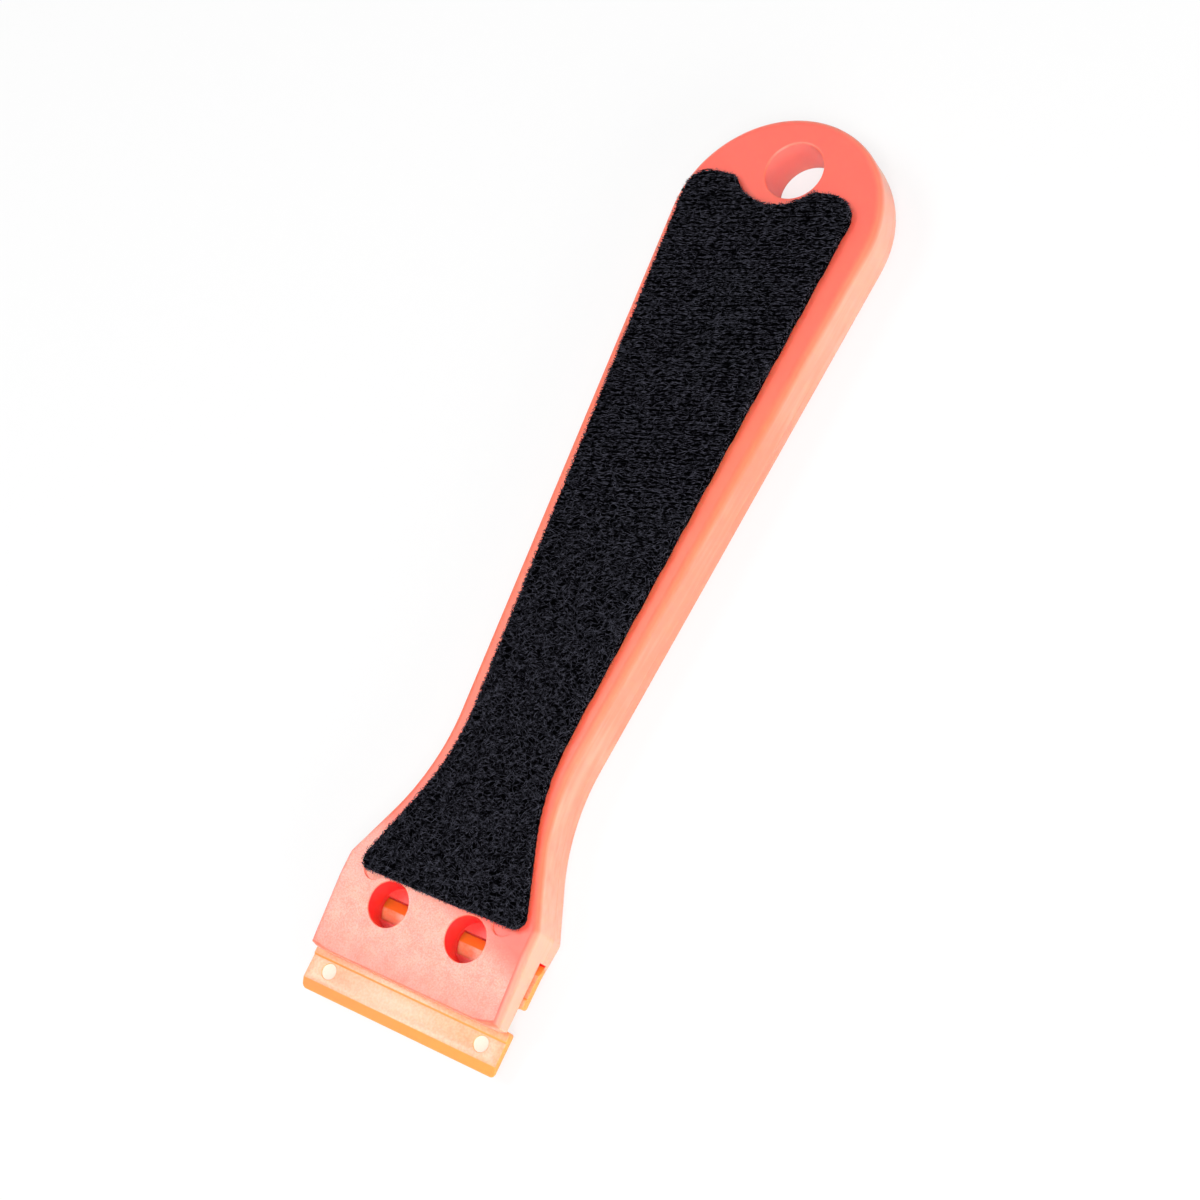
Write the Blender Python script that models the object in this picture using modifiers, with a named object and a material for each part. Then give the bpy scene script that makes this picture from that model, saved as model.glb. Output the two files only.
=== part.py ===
"""Scraper with a long moulded handle, a stuck-on fabric pad and a push-in double-edged plastic blade.

The scraper lies on its back: X is its width, Y runs from the blade to the hanging hole, Z points out of
the padded face. The origin is under the middle of the whole length, on the plane of the back face.
"""

import math

import bmesh
import bpy
from mathutils import Vector

# One unit
mm = 0.001

# Blade
blade_width = 39.0 * mm
blade_height = 18.4 * mm
blade_flat_thickness = 1.1 * mm
blade_edge_thickness = 0.12 * mm
blade_bevel_length = 1.6 * mm
blade_band_height = 7.0 * mm
blade_band_rise = 0.25 * mm
blade_corner_radius = 1.0 * mm
blade_notch_length = 3.9 * mm
blade_notch_depth = 1.6 * mm
blade_notch_radius = 0.5 * mm
blade_mark_radius = 1.3 * mm
blade_mark_depth = 0.1 * mm
blade_mark_from_end = 4.05 * mm
blade_mark_from_edge = 3.9 * mm
blade_reach = 6.6 * mm
blade_clearance = 0.3 * mm

# Handle seen from the front
handle_length = 157.2 * mm
head_half_width = 19.0 * mm
lip_corner_width = 1.3 * mm
lip_corner_height = 0.4 * mm
shoulder_from_lip = 15.9 * mm
shoulder_radius = 1.6 * mm
neck_from_lip = 33.5 * mm
neck_corner_half_width = 11.24 * mm
neck_radius = 40.0 * mm
end_radius = 19.3 * mm

# Handle seen from the side
handle_thickness = 8.7 * mm
back_to_blade = 2.4 * mm
lip_height = 7.25 * mm
front_crease_from_lip = 12.2 * mm
back_crease_from_lip = 15.4 * mm
back_jaw_tip_rise = 1.6 * mm
back_jaw_setback = 4.7 * mm
front_round_at_head = 1.2 * mm
front_round_at_end = 1.6 * mm
back_round_at_head = 1.0 * mm
back_round_at_end = 2.2 * mm

# Hanging hole
hang_hole_radius = 5.5 * mm
hang_hole_from_end = 10.0 * mm
hang_hole_rim_round = 0.4 * mm

# Round windows in the front jaw
window_radius = 3.65 * mm
window_half_spacing = 7.75 * mm
window_from_lip = 10.5 * mm
window_floor_web = 0.6 * mm
window_gate_low = 2.35 * mm
window_gate_high = 1.5 * mm

# Ejector dimples beside the pad's lower corners
dimple_radius = 2.0 * mm
dimple_depth = 0.4 * mm
dimple_half_spacing = 12.85 * mm
dimple_from_lip = 15.0 * mm

# Pad and its film
pad_thickness = 0.9 * mm
pad_edge_round = 0.25 * mm
pad_seat_gap = 0.3 * mm
pad_above_window = 0.05 * mm
pad_foot_margin = 2.2 * mm
pad_foot_radius = 2.0 * mm
pad_neck_shift = 2.8 * mm
pad_neck_margin = 2.62 * mm
pad_neck_radius = 42.0 * mm
pad_top_below_hole = 3.3 * mm
pad_top_margin = 2.9 * mm
pad_ear_radius = 4.2 * mm
pad_hole_margin = 3.7 * mm
pad_scoop_shift = 2.0 * mm
pad_scoop_edge_radius = 1.2 * mm
pad_skew_deg = 1.05
pad_shift = 0.7 * mm
film_thickness = 0.15 * mm
film_inset = 0.2 * mm

# Every cutter runs past what it cuts by this much
overrun = 2.0 * mm

# Counts
round_steps = 3
end_arc_steps = 22
neck_arc_steps = 10
corner_arc_steps = 5
hole_segments = 40
window_segments = 32
mark_segments = 20

# Places worked out from the sizes
overall_length = blade_reach + handle_length
y_edge = -overall_length / 2
y_lip = y_edge + blade_reach
y_end = y_lip + handle_length
y_blade = y_edge + blade_height / 2
y_slot_end = y_edge + blade_height + blade_clearance
y_front_crease = y_lip + front_crease_from_lip
y_back_crease = y_lip + back_crease_from_lip
y_jaw_tip = y_lip + back_jaw_setback
y_hole = y_end - hang_hole_from_end
y_window = y_lip + window_from_lip
z_blade = back_to_blade
y_pad = y_window + window_radius + pad_above_window
z_slot_floor = z_blade - blade_clearance
z_slot_roof = z_blade + blade_flat_thickness + blade_band_rise + blade_clearance
z_window_floor = z_slot_roof + window_floor_web
z_film = handle_thickness + pad_seat_gap
z_pad = z_film + film_thickness + pad_seat_gap


def clear_scene():
    """Remove every object that the file opened with."""
    for obj in list(bpy.data.objects):
        bpy.data.objects.remove(obj, do_unlink=True)


def new_collection(name):
    """Make a collection under the scene's own.

    Args:
        name: The collection's name.

    Returns:
        The new collection.
    """
    collection = bpy.data.collections.new(name)
    bpy.context.scene.collection.children.link(collection)
    return collection


def new_material(name, color, roughness, metallic=0.0):
    """Make a Principled material.

    Args:
        name: The material's name.
        color: Linear red, green and blue.
        roughness: The Principled roughness.
        metallic: The Principled metallic value.

    Returns:
        The new material.
    """
    material = bpy.data.materials.new(name)
    material.use_nodes = True
    shader = material.node_tree.nodes["Principled BSDF"]
    shader.inputs["Base Color"].default_value = (*color, 1.0)
    shader.inputs["Roughness"].default_value = roughness
    shader.inputs["Metallic"].default_value = metallic
    material.diffuse_color = (*color, 1.0)
    return material


def mesh_object(name, bm, collection, location=(0, 0, 0)):
    """Turn a bmesh into an object.

    Args:
        name: The object's name.
        bm: The bmesh, freed here.
        collection: Where the object goes.
        location: The object's place.

    Returns:
        The new object.
    """
    bmesh.ops.recalc_face_normals(bm, faces=bm.faces)
    mesh = bpy.data.meshes.new(name)
    bm.to_mesh(mesh)
    bm.free()
    obj = bpy.data.objects.new(name, mesh)
    obj.location = location
    collection.objects.link(obj)
    return obj


def as_cutter(obj):
    """Hide a cutter from renders and draw it as wire.

    Args:
        obj: The cutter.

    Returns:
        The same object.
    """
    obj.hide_render = True
    obj.display_type = "WIRE"
    return obj


def add_boolean(obj, other, operation="DIFFERENCE"):
    """Add an exact Boolean modifier.

    Args:
        obj: The object that is changed.
        other: The object that it is cut by or met with.
        operation: The Boolean's operation.
    """
    modifier = obj.modifiers.new(other.name, "BOOLEAN")
    modifier.operation = operation
    modifier.solver = "EXACT"
    modifier.object = other


def box(name, low, high, collection):
    """Make a box between two corners, with its scale applied.

    Args:
        name: The object's name.
        low: The corner with the least x, y and z.
        high: The corner with the greatest x, y and z.
        collection: Where the object goes.

    Returns:
        The new object.
    """
    size = [b - a for a, b in zip(low, high)]
    middle = [(a + b) / 2 for a, b in zip(low, high)]
    bm = bmesh.new()
    bmesh.ops.create_cube(bm, size=1)
    bmesh.ops.scale(bm, vec=size, verts=bm.verts)
    return mesh_object(name, bm, collection, middle)


def cylinder(name, radius, low, high, segments, place, collection):
    """Make an upright cylinder.

    Args:
        name: The object's name.
        radius: The cylinder's radius.
        low: The height of its lower face.
        high: The height of its upper face.
        segments: How many sides it has.
        place: Its axis, as x and y.
        collection: Where the object goes.

    Returns:
        The new object.
    """
    bm = bmesh.new()
    bmesh.ops.create_cone(bm, cap_ends=True, segments=segments, radius1=radius, radius2=radius, depth=high - low)
    return mesh_object(name, bm, collection, (place[0], place[1], (low + high) / 2))


def arc(center, radius, start, stop, steps):
    """Points along a circular arc, both ends included.

    Args:
        center: The arc's centre.
        radius: The arc's radius.
        start: The first angle, in radians.
        stop: The last angle, in radians.
        steps: How many chords the arc has.

    Returns:
        A list of 2D vectors.
    """
    angles = [start + (stop - start) * i / steps for i in range(steps + 1)]
    return [Vector((center[0] + radius * math.cos(a), center[1] + radius * math.sin(a))) for a in angles]


def fillet(before, corner, after, radius, steps):
    """Points that round one corner of an outline.

    Args:
        before: The outline's point before the corner.
        corner: The corner.
        after: The outline's point after the corner.
        radius: The rounding's radius.
        steps: How many chords the rounding has.

    Returns:
        A list of 2D vectors, from the tangent point on the first side to the one on the second.
    """
    first = (before - corner).normalized()
    second = (after - corner).normalized()
    half = first.angle(second) / 2
    reach = radius / math.tan(half)
    center = corner + (first + second).normalized() * (radius / math.sin(half))
    start = corner + first * reach - center
    stop = corner + second * reach - center
    turn = start.angle_signed(stop)
    base = math.atan2(start.y, start.x)
    return arc(center, radius, base, base - turn, steps)


def tangent_point(point, center, radius):
    """Where the outer tangent from a point on the right touches a circle.

    Args:
        point: The point outside the circle.
        center: The circle's centre.
        radius: The circle's radius.

    Returns:
        The touching point on the circle's right side.
    """
    away = point - center
    spread = math.acos(radius / away.length)
    angle = math.atan2(away.y, away.x) + spread
    return center + Vector((math.cos(angle), math.sin(angle))) * radius


def mirrored(points):
    """Close a right half outline with its mirror image.

    Args:
        points: The right half, from the lowest point to the highest.

    Returns:
        The whole outline, without double points on the middle line.
    """
    left = [Vector((-p.x, p.y)) for p in reversed(points) if p.x > 0]
    return points + left


def plate(name, outline, low, high, collection, across_x=False):
    """Make a plate from a closed outline with a filled 2D curve.

    Args:
        name: The object's name.
        outline: The outline's points, around the object's own origin.
        low: Where the plate starts along its thickness.
        high: Where the plate ends along its thickness.
        collection: Where the object goes.
        across_x: True where the outline is drawn in Y and Z and the thickness runs along X.

    Returns:
        The new mesh object, with its transform applied to the mesh.
    """
    curve = bpy.data.curves.new(name + "_outline", "CURVE")
    curve.dimensions = "2D"
    curve.fill_mode = "BOTH"
    curve.extrude = (high - low) / 2
    spline = curve.splines.new("POLY")
    spline.points.add(len(outline) - 1)
    for point, place in zip(spline.points, outline):
        point.co = (place.x, place.y, 0, 1)
    spline.use_cyclic_u = True
    source = bpy.data.objects.new(name + "_outline", curve)
    bpy.context.scene.collection.objects.link(source)
    graph = bpy.context.evaluated_depsgraph_get()
    mesh = bpy.data.meshes.new_from_object(source.evaluated_get(graph))
    bpy.data.objects.remove(source, do_unlink=True)
    bpy.data.curves.remove(curve)
    bm = bmesh.new()
    bm.from_mesh(mesh)
    bpy.data.meshes.remove(mesh)
    bmesh.ops.remove_doubles(bm, verts=bm.verts, dist=0.00001)
    for vert in bm.verts:
        along = vert.co.z + (low + high) / 2
        vert.co = Vector((along, vert.co.x, vert.co.y)) if across_x else Vector((vert.co.x, vert.co.y, along))
    return mesh_object(name, bm, collection)


def turned_cutter(name, profile, segments, place, collection):
    """Turn a profile about the upright axis through a place, with a Screw modifier.

    Args:
        name: The object's name.
        profile: Points as radius and height, from the top down.
        segments: How many sides the turned shape has.
        place: The axis, as x and y.
        collection: Where the object goes.

    Returns:
        The new object.
    """
    mesh = bpy.data.meshes.new(name)
    mesh.from_pydata([(r, 0, z) for r, z in profile], [(i, i + 1) for i in range(len(profile) - 1)], [])
    obj = bpy.data.objects.new(name, mesh)
    obj.location = (place[0], place[1], 0)
    collection.objects.link(obj)
    screw = obj.modifiers.new("Turn", "SCREW")
    screw.axis = "Z"
    screw.steps = segments
    screw.render_steps = segments
    screw.use_merge_vertices = True
    screw.merge_threshold = 0.00001
    return as_cutter(obj)


def smooth(obj, degrees=32):
    """Shade an object smooth with sharp edges kept.

    Args:
        obj: The object.
        degrees: Edges that turn more than this stay sharp.
    """
    obj.data.shade_smooth()
    obj.data.set_sharp_from_angle(angle=math.radians(degrees))


def handle_outline():
    """The handle's right half as seen from the front.

    Returns:
        Pairs of a point and the direction, of unit pull, that moves it squarely inward.
    """
    center = Vector((0, y_end - end_radius))
    lip = Vector((head_half_width - lip_corner_width, y_lip))
    cheek = Vector((head_half_width, y_lip + lip_corner_height))
    front = Vector((head_half_width, y_front_crease))
    back = Vector((head_half_width, y_back_crease))
    shoulder = Vector((head_half_width, y_lip + shoulder_from_lip))
    neck = Vector((neck_corner_half_width, y_lip + neck_from_lip))
    grip = tangent_point(neck, center, end_radius)
    cut_normal = Vector((lip_corner_height, -lip_corner_width)).normalized()
    side_normal = Vector((1, 0))
    pairs = [(lip, Vector((1 / cut_normal.x, 0)))]
    pairs.append((cheek, (cut_normal + side_normal) / (1 + cut_normal.dot(side_normal))))
    pairs += [(front, side_normal), (back, side_normal)]
    rounds = ((cheek, shoulder, neck, shoulder_radius, corner_arc_steps, 1),
              (shoulder, neck, grip, neck_radius, neck_arc_steps, -1))
    for before, corner, after, radius, steps, side in rounds:
        points = fillet(before, corner, after, radius, steps)
        first = (before - corner).normalized()
        second = (after - corner).normalized()
        half = first.angle(second) / 2
        middle = corner + (first + second).normalized() * (radius / math.sin(half))
        pairs += [(p, (p - middle).normalized() * side) for p in points]
    start = math.atan2(grip.y - center.y, grip.x)
    for p in arc(center, end_radius, start, math.pi / 2, end_arc_steps):
        pairs.append((p, (p - center).normalized()))
    return pairs


def ramp(value, start, stop, first, last):
    """Blend between two sizes along the handle.

    Args:
        value: The place along Y.
        start: Where the first size ends.
        stop: Where the last size begins.
        first: The size before start.
        last: The size after stop.

    Returns:
        The size at the place.
    """
    share = min(max((value - start) / (stop - start), 0), 1)
    return first + (last - first) * share


def front_height(y):
    """Height of the front face, which slopes down to the lip.

    Args:
        y: The place along Y.

    Returns:
        The height above the back plane.
    """
    return ramp(y, y_lip, y_front_crease, lip_height, handle_thickness)


def back_height(y):
    """Height of the back face, which slopes up under the jaw.

    Args:
        y: The place along Y.

    Returns:
        The height above the back plane.
    """
    slope = back_jaw_tip_rise / (y_back_crease - y_jaw_tip)
    return max(y_back_crease - y, 0) * slope


def handle_body(collection):
    """Loft the handle's solid from the back to the front, without its holes.

    Args:
        collection: Where the object goes.

    Returns:
        The handle.
    """
    half = handle_outline()
    whole = half + [(Vector((-p.x, p.y)), Vector((-n.x, n.y))) for p, n in reversed(half[:-1])]
    round_start = y_lip + neck_from_lip
    round_stop = y_end - end_radius
    bm = bmesh.new()
    rings = []
    for face in (-1, 1):
        steps = range(round_steps, -1, -1) if face < 0 else range(round_steps + 1)
        for step in steps:
            angle = math.pi / 2 * step / round_steps
            ring = []
            for point, normal in whole:
                if face < 0:
                    radius = ramp(point.y, round_start, round_stop, back_round_at_head, back_round_at_end)
                    height = back_height(point.y) + radius * (1 - math.sin(angle))
                else:
                    radius = ramp(point.y, round_start, round_stop, front_round_at_head, front_round_at_end)
                    height = front_height(point.y) - radius * (1 - math.sin(angle))
                place = point - normal * radius * (1 - math.cos(angle))
                ring.append(bm.verts.new((place.x, place.y, height)))
            rings.append(ring)
    loops = []
    for ring in rings:
        loops.append([bm.edges.new((ring[i], ring[(i + 1) % len(ring)])) for i in range(len(ring))])
    for lower, upper in zip(loops, loops[1:]):
        bmesh.ops.bridge_loops(bm, edges=lower + upper)
    for ring, crease in ((rings[0], 3), (rings[-1], 2)):
        split = len(ring) - 1 - crease
        bm.faces.new(ring[crease:split + 1])
        bm.faces.new(ring[split:] + ring[:crease + 1])
    return mesh_object("handle", bm, collection)


def handle_cutters(collection):
    """Make what is cut from the handle.

    Args:
        collection: Where the cutters go.

    Returns:
        The cutters, in the order of the cuts.
    """
    wide = head_half_width + overrun
    low = y_lip - overrun
    slot = box("cut_blade_slot", (-wide, low, z_slot_floor), (wide, y_slot_end, z_slot_roof), collection)
    step = box("cut_jaw_step", (-wide, low, -overrun), (wide, y_jaw_tip, z_slot_roof), collection)
    top = handle_thickness + overrun
    turn = hang_hole_rim_round
    profile = [(0, top), (hang_hole_radius + turn, top), (hang_hole_radius + turn, handle_thickness)]
    angles = [math.pi / 2 * i / round_steps for i in range(1, round_steps + 1)]
    profile += [(hang_hole_radius + turn * (1 - math.sin(a)), handle_thickness - turn * (1 - math.cos(a)))
                for a in angles]
    profile += [(hang_hole_radius + turn * (1 - math.sin(a)), turn * (1 - math.cos(a))) for a in reversed(angles)]
    profile += [(hang_hole_radius + turn, 0), (hang_hole_radius + turn, -overrun), (0, -overrun)]
    cutters = [slot, step, turned_cutter("cut_hanging_hole", profile, hole_segments, (0, y_hole), collection)]
    middle_of_slot = (z_slot_floor + z_slot_roof) / 2
    for side, sign in (("left", -1), ("right", 1)):
        place = (sign * window_half_spacing, y_window)
        core = cylinder("cut_window_" + side, window_radius, middle_of_slot, top, window_segments, place, collection)
        reach = window_radius + overrun
        floor = (place[0] - reach, y_window - reach, middle_of_slot - overrun)
        core_low = box("keep_low_ledge_" + side, floor,
                       (place[0] + reach, y_window - window_gate_low, z_window_floor), collection)
        core_high = box("keep_high_ledge_" + side, (floor[0], y_window + window_gate_high, floor[2]),
                        (place[0] + reach, y_window + reach, z_window_floor), collection)
        for keep in (core_low, core_high):
            add_boolean(core, as_cutter(keep))
        dimple = cylinder("cut_dimple_" + side, dimple_radius, handle_thickness - dimple_depth, top, mark_segments,
                          (sign * dimple_half_spacing, y_lip + dimple_from_lip), collection)
        cutters += [core, dimple]
    return [as_cutter(cutter) for cutter in cutters]


def pad_outline(inset=0.0):
    """The pad's outline, drawn round the pad's foot, which is its own origin.

    Args:
        inset: How far the outline is drawn in from the pad's edge.

    Returns:
        The outline's points.
    """
    y_foot = inset
    y_neck = y_lip + neck_from_lip + pad_neck_shift - y_pad
    y_top = y_hole - pad_top_below_hole - y_pad - inset
    foot = Vector((head_half_width - pad_foot_margin - inset, y_foot))
    neck = Vector((neck_corner_half_width - pad_neck_margin - inset, y_neck))
    ear = Vector((end_radius - pad_top_margin - inset, y_top))
    scoop_radius = hang_hole_radius + pad_hole_margin + inset
    scoop = Vector((0, y_hole + pad_scoop_shift - y_pad))
    edge_half = math.sqrt(scoop_radius ** 2 - (scoop.y - y_top) ** 2)
    edge = Vector((edge_half, y_top))
    tangent = Vector((scoop.y - y_top, edge_half)).normalized()
    inner = edge - tangent * pad_scoop_edge_radius * 2
    points = fillet(Vector((0, y_foot)), foot, neck, pad_foot_radius, corner_arc_steps)
    points += fillet(foot, neck, ear, pad_neck_radius, neck_arc_steps)
    points += fillet(neck, ear, edge, pad_ear_radius, corner_arc_steps)
    points += fillet(ear, edge, inner, pad_scoop_edge_radius, corner_arc_steps)
    last = points[-1] - scoop
    scoop_points = arc(scoop, scoop_radius, math.atan2(last.y, last.x), -math.pi / 2, neck_arc_steps)
    points += scoop_points[1:]
    points[-1].x = 0
    return mirrored(points)


def stick_on(obj, height):
    """Place a pad layer on the handle, a little aside and turned, as it was stuck on.

    Args:
        obj: The layer, drawn round the pad's foot.
        height: The height of its lower face.
    """
    obj.location = (pad_shift, y_pad, height)
    obj.rotation_euler = (0, 0, math.radians(pad_skew_deg))


def blade_body(collection, cutters):
    """Make the double-edged blade, flat at the back and bevelled at both long edges.

    Args:
        collection: Where the blade goes.
        cutters: Where its cutters go.

    Returns:
        The blade, with its origin at its own centre on its flat back.
    """
    half = blade_height / 2
    shoulder = half - blade_bevel_length
    band = blade_band_height / 2
    band_top = blade_flat_thickness + blade_band_rise
    past_edge = blade_edge_thickness / 2
    slope = (blade_flat_thickness - blade_edge_thickness) / blade_bevel_length
    side = [Vector((half + overrun, 0)), Vector((half + overrun, past_edge)),
            Vector((half + past_edge / slope, past_edge)), Vector((shoulder, blade_flat_thickness)),
            Vector((band + blade_band_rise, blade_flat_thickness)), Vector((band, band_top))]
    section = side + [Vector((-p.x, p.y)) for p in reversed(side)]
    blade = plate("scraper_blade", section, -blade_width, blade_width, collection, across_x=True)
    right = blade_width / 2
    notch = blade_notch_length / 2
    floor = right - blade_notch_depth
    corners = [(Vector((right, -half)), blade_corner_radius), (Vector((right, -notch)), blade_notch_radius),
               (Vector((floor, -notch)), blade_notch_radius), (Vector((floor, notch)), blade_notch_radius),
               (Vector((right, notch)), blade_notch_radius), (Vector((right, half)), blade_corner_radius)]
    places = [Vector((0, -half))] + [c for c, _ in corners] + [Vector((0, half))]
    points = []
    for i, (corner, radius) in enumerate(corners):
        points += fillet(places[i], corner, places[i + 2], radius, corner_arc_steps)
    plan = plate("keep_blade_plan", mirrored(points), -overrun, band_top + overrun, cutters)
    add_boolean(blade, as_cutter(plan), "INTERSECT")
    mark_x = right - blade_mark_from_end
    mark_y = half - blade_mark_from_edge
    for name, sx, sy in (("front_left", -1, -1), ("front_right", 1, -1), ("back_left", -1, 1), ("back_right", 1, 1)):
        mark = cylinder("cut_mark_" + name, blade_mark_radius, blade_flat_thickness - blade_mark_depth,
                        band_top + overrun, mark_segments, (sx * mark_x, sy * mark_y), cutters)
        mark.parent = blade
        add_boolean(blade, as_cutter(mark))
    plan.parent = blade
    blade.location = (0, y_blade, z_blade)
    return blade


def main():
    """Build the scraper."""
    clear_scene()
    parts = new_collection("long_handle_scraper")
    cutters = new_collection("cutters")
    coral = new_material("coral moulded polypropylene", (0.85, 0.13, 0.09), 0.42)
    black = new_material("black knitted pad", (0.012, 0.012, 0.015), 0.95)
    film_look = new_material("clear adhesive film", (0.75, 0.72, 0.62), 0.3)
    amber = new_material("amber moulded blade plastic", (0.95, 0.5, 0.16), 0.3)

    handle = handle_body(parts)
    for cutter in handle_cutters(cutters):
        add_boolean(handle, cutter)
    handle.data.materials.append(coral)
    smooth(handle)

    film = plate("pad_adhesive", pad_outline(film_inset), 0, film_thickness, parts)
    film.data.materials.append(film_look)
    stick_on(film, z_film)

    pad = plate("felt_pad", pad_outline(), 0, pad_thickness, parts)
    pad.data.materials.append(black)
    stick_on(pad, z_pad)
    edge = pad.modifiers.new("Soft edge", "BEVEL")
    edge.width = pad_edge_round
    edge.segments = 1
    edge.limit_method = "ANGLE"
    edge.angle_limit = math.radians(60)
    smooth(pad)

    blade = blade_body(parts, cutters)
    blade.data.materials.append(amber)
    smooth(blade, 20)


if __name__ == "__main__":
    main()
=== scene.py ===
"""A long-handled safety scraper, dressed for its picture.

A coral polypropylene handle carries a black brushed-knit pad on clear adhesive, and grips an amber
double-edged plastic blade. X is the width, Y runs from the blade to the hanging hole, Z is up.
"""

import sys
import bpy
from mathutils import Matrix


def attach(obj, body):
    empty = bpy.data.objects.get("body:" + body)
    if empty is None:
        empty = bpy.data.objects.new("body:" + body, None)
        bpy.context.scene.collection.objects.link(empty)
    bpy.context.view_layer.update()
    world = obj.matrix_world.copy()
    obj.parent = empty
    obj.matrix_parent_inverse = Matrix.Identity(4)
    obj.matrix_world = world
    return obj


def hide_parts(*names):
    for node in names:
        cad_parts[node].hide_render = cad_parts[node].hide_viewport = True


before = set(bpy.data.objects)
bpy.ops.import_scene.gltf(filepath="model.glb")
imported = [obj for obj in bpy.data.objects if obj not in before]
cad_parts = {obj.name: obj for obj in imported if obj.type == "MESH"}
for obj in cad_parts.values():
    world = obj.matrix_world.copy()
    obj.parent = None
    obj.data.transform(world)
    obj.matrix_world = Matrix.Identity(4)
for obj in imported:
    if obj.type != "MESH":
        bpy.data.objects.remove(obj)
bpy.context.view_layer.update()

import logging
import math
import random
from dataclasses import dataclass, field
from enum import Enum
from typing import Any, Iterable, Sequence

import bmesh
import bpy
import numpy as np
from mathutils import Matrix, Vector, noise

MM = 0.001
TINY = 1e-7  # metres within which two places count as one
BATCH = 20000  # places measured at a time, which bounds the memory that it takes
LOG = logging.getLogger("scraper")

Pair = tuple[Vector, Vector]


class Side(Enum):
    """The two sides of the middle line."""

    LEFT = -1
    RIGHT = 1


class Section(Enum):
    """The parts of the handle's section, from the back face to the front face."""

    BACK_ROUNDING = 0
    SIDE = 1
    FRONT_ROUNDING = 2


class Rim(Enum):
    """How far the mouth of a moulded hole is rounded."""

    CRISP = 0.12 * MM
    MOULDED = 0.22 * MM
    FLARED = 0.4 * MM


# Materials


def hex_linear(code: str) -> tuple[float, float, float, float]:
    """Turn an sRGB hex colour into linear red, green, blue and alpha.

    Args:
        code: The colour, such as "#F8674F".

    Returns:
        The linear colour.
    """
    parts = [int(code[i:i + 2], 16) / 255 for i in (1, 3, 5)]
    linear = [p / 12.92 if p <= 0.04045 else ((p + 0.055) / 1.055) ** 2.4 for p in parts]
    return (linear[0], linear[1], linear[2], 1.0)


def set_inputs(tree: bpy.types.NodeTree, node: bpy.types.Node, inputs: dict[str | int, Any]) -> None:
    """Give a node's inputs their links and constants.

    Args:
        tree: The node tree.
        node: The node.
        inputs: What each input gets: a node or a socket to link from, an sRGB hex colour, or a constant.
    """
    for key, value in inputs.items():
        if isinstance(value, bpy.types.Node):
            value = next(socket for socket in value.outputs if socket.enabled)
        if isinstance(value, bpy.types.NodeSocket):
            tree.links.new(value, node.inputs[key])
        else:
            node.inputs[key].default_value = hex_linear(value) if isinstance(value, str) else value


def add_node(tree: bpy.types.NodeTree, kind: str, inputs: dict[str | int, Any] | None = None,
             **settings: Any) -> bpy.types.Node:
    """Add a node with its settings, its constants and its links.

    Args:
        tree: The node tree.
        kind: The node's type name, without "ShaderNode".
        inputs: What each input gets, as set_inputs() takes it.
        settings: The node's own properties.

    Returns:
        The new node.
    """
    node = tree.nodes.new("ShaderNode" + kind)
    for key, value in settings.items():
        setattr(node, key, value)
    set_inputs(tree, node, inputs or {})
    return node


def new_material(name: str, constants: dict[str, Any]) -> tuple[bpy.types.Material, bpy.types.NodeTree,
                                                                 bpy.types.Node]:
    """Make a Principled material with its constants set on the shader.

    Args:
        name: The material's name.
        constants: The shader's inputs that are the same all over.

    Returns:
        The material, its node tree and its shader.
    """
    material = bpy.data.materials.new(name)
    material.use_nodes = True
    tree = material.node_tree
    shader = tree.nodes["Principled BSDF"]
    set_inputs(tree, shader, constants)
    return material, tree, shader


def relief(tree: bpy.types.NodeTree, shader: bpy.types.Node, pattern: bpy.types.Node,
           roughness: tuple[float, float], strength: float, depth: float) -> None:
    """Let one pattern drive both the roughness and the bumps of a shader.

    Args:
        tree: The node tree.
        shader: The shader.
        pattern: The node that gives the pattern, from 0 to 1.
        roughness: The roughness at 0 and at 1.
        strength: How strongly the bumps show.
        depth: How deep the bumps are.
    """
    rough = add_node(tree, "MapRange", {"Value": pattern, "To Min": roughness[0], "To Max": roughness[1]})
    bump = add_node(tree, "Bump", {"Strength": strength, "Distance": depth, "Height": pattern})
    set_inputs(tree, shader, {"Roughness": rough, "Normal": bump})


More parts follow.
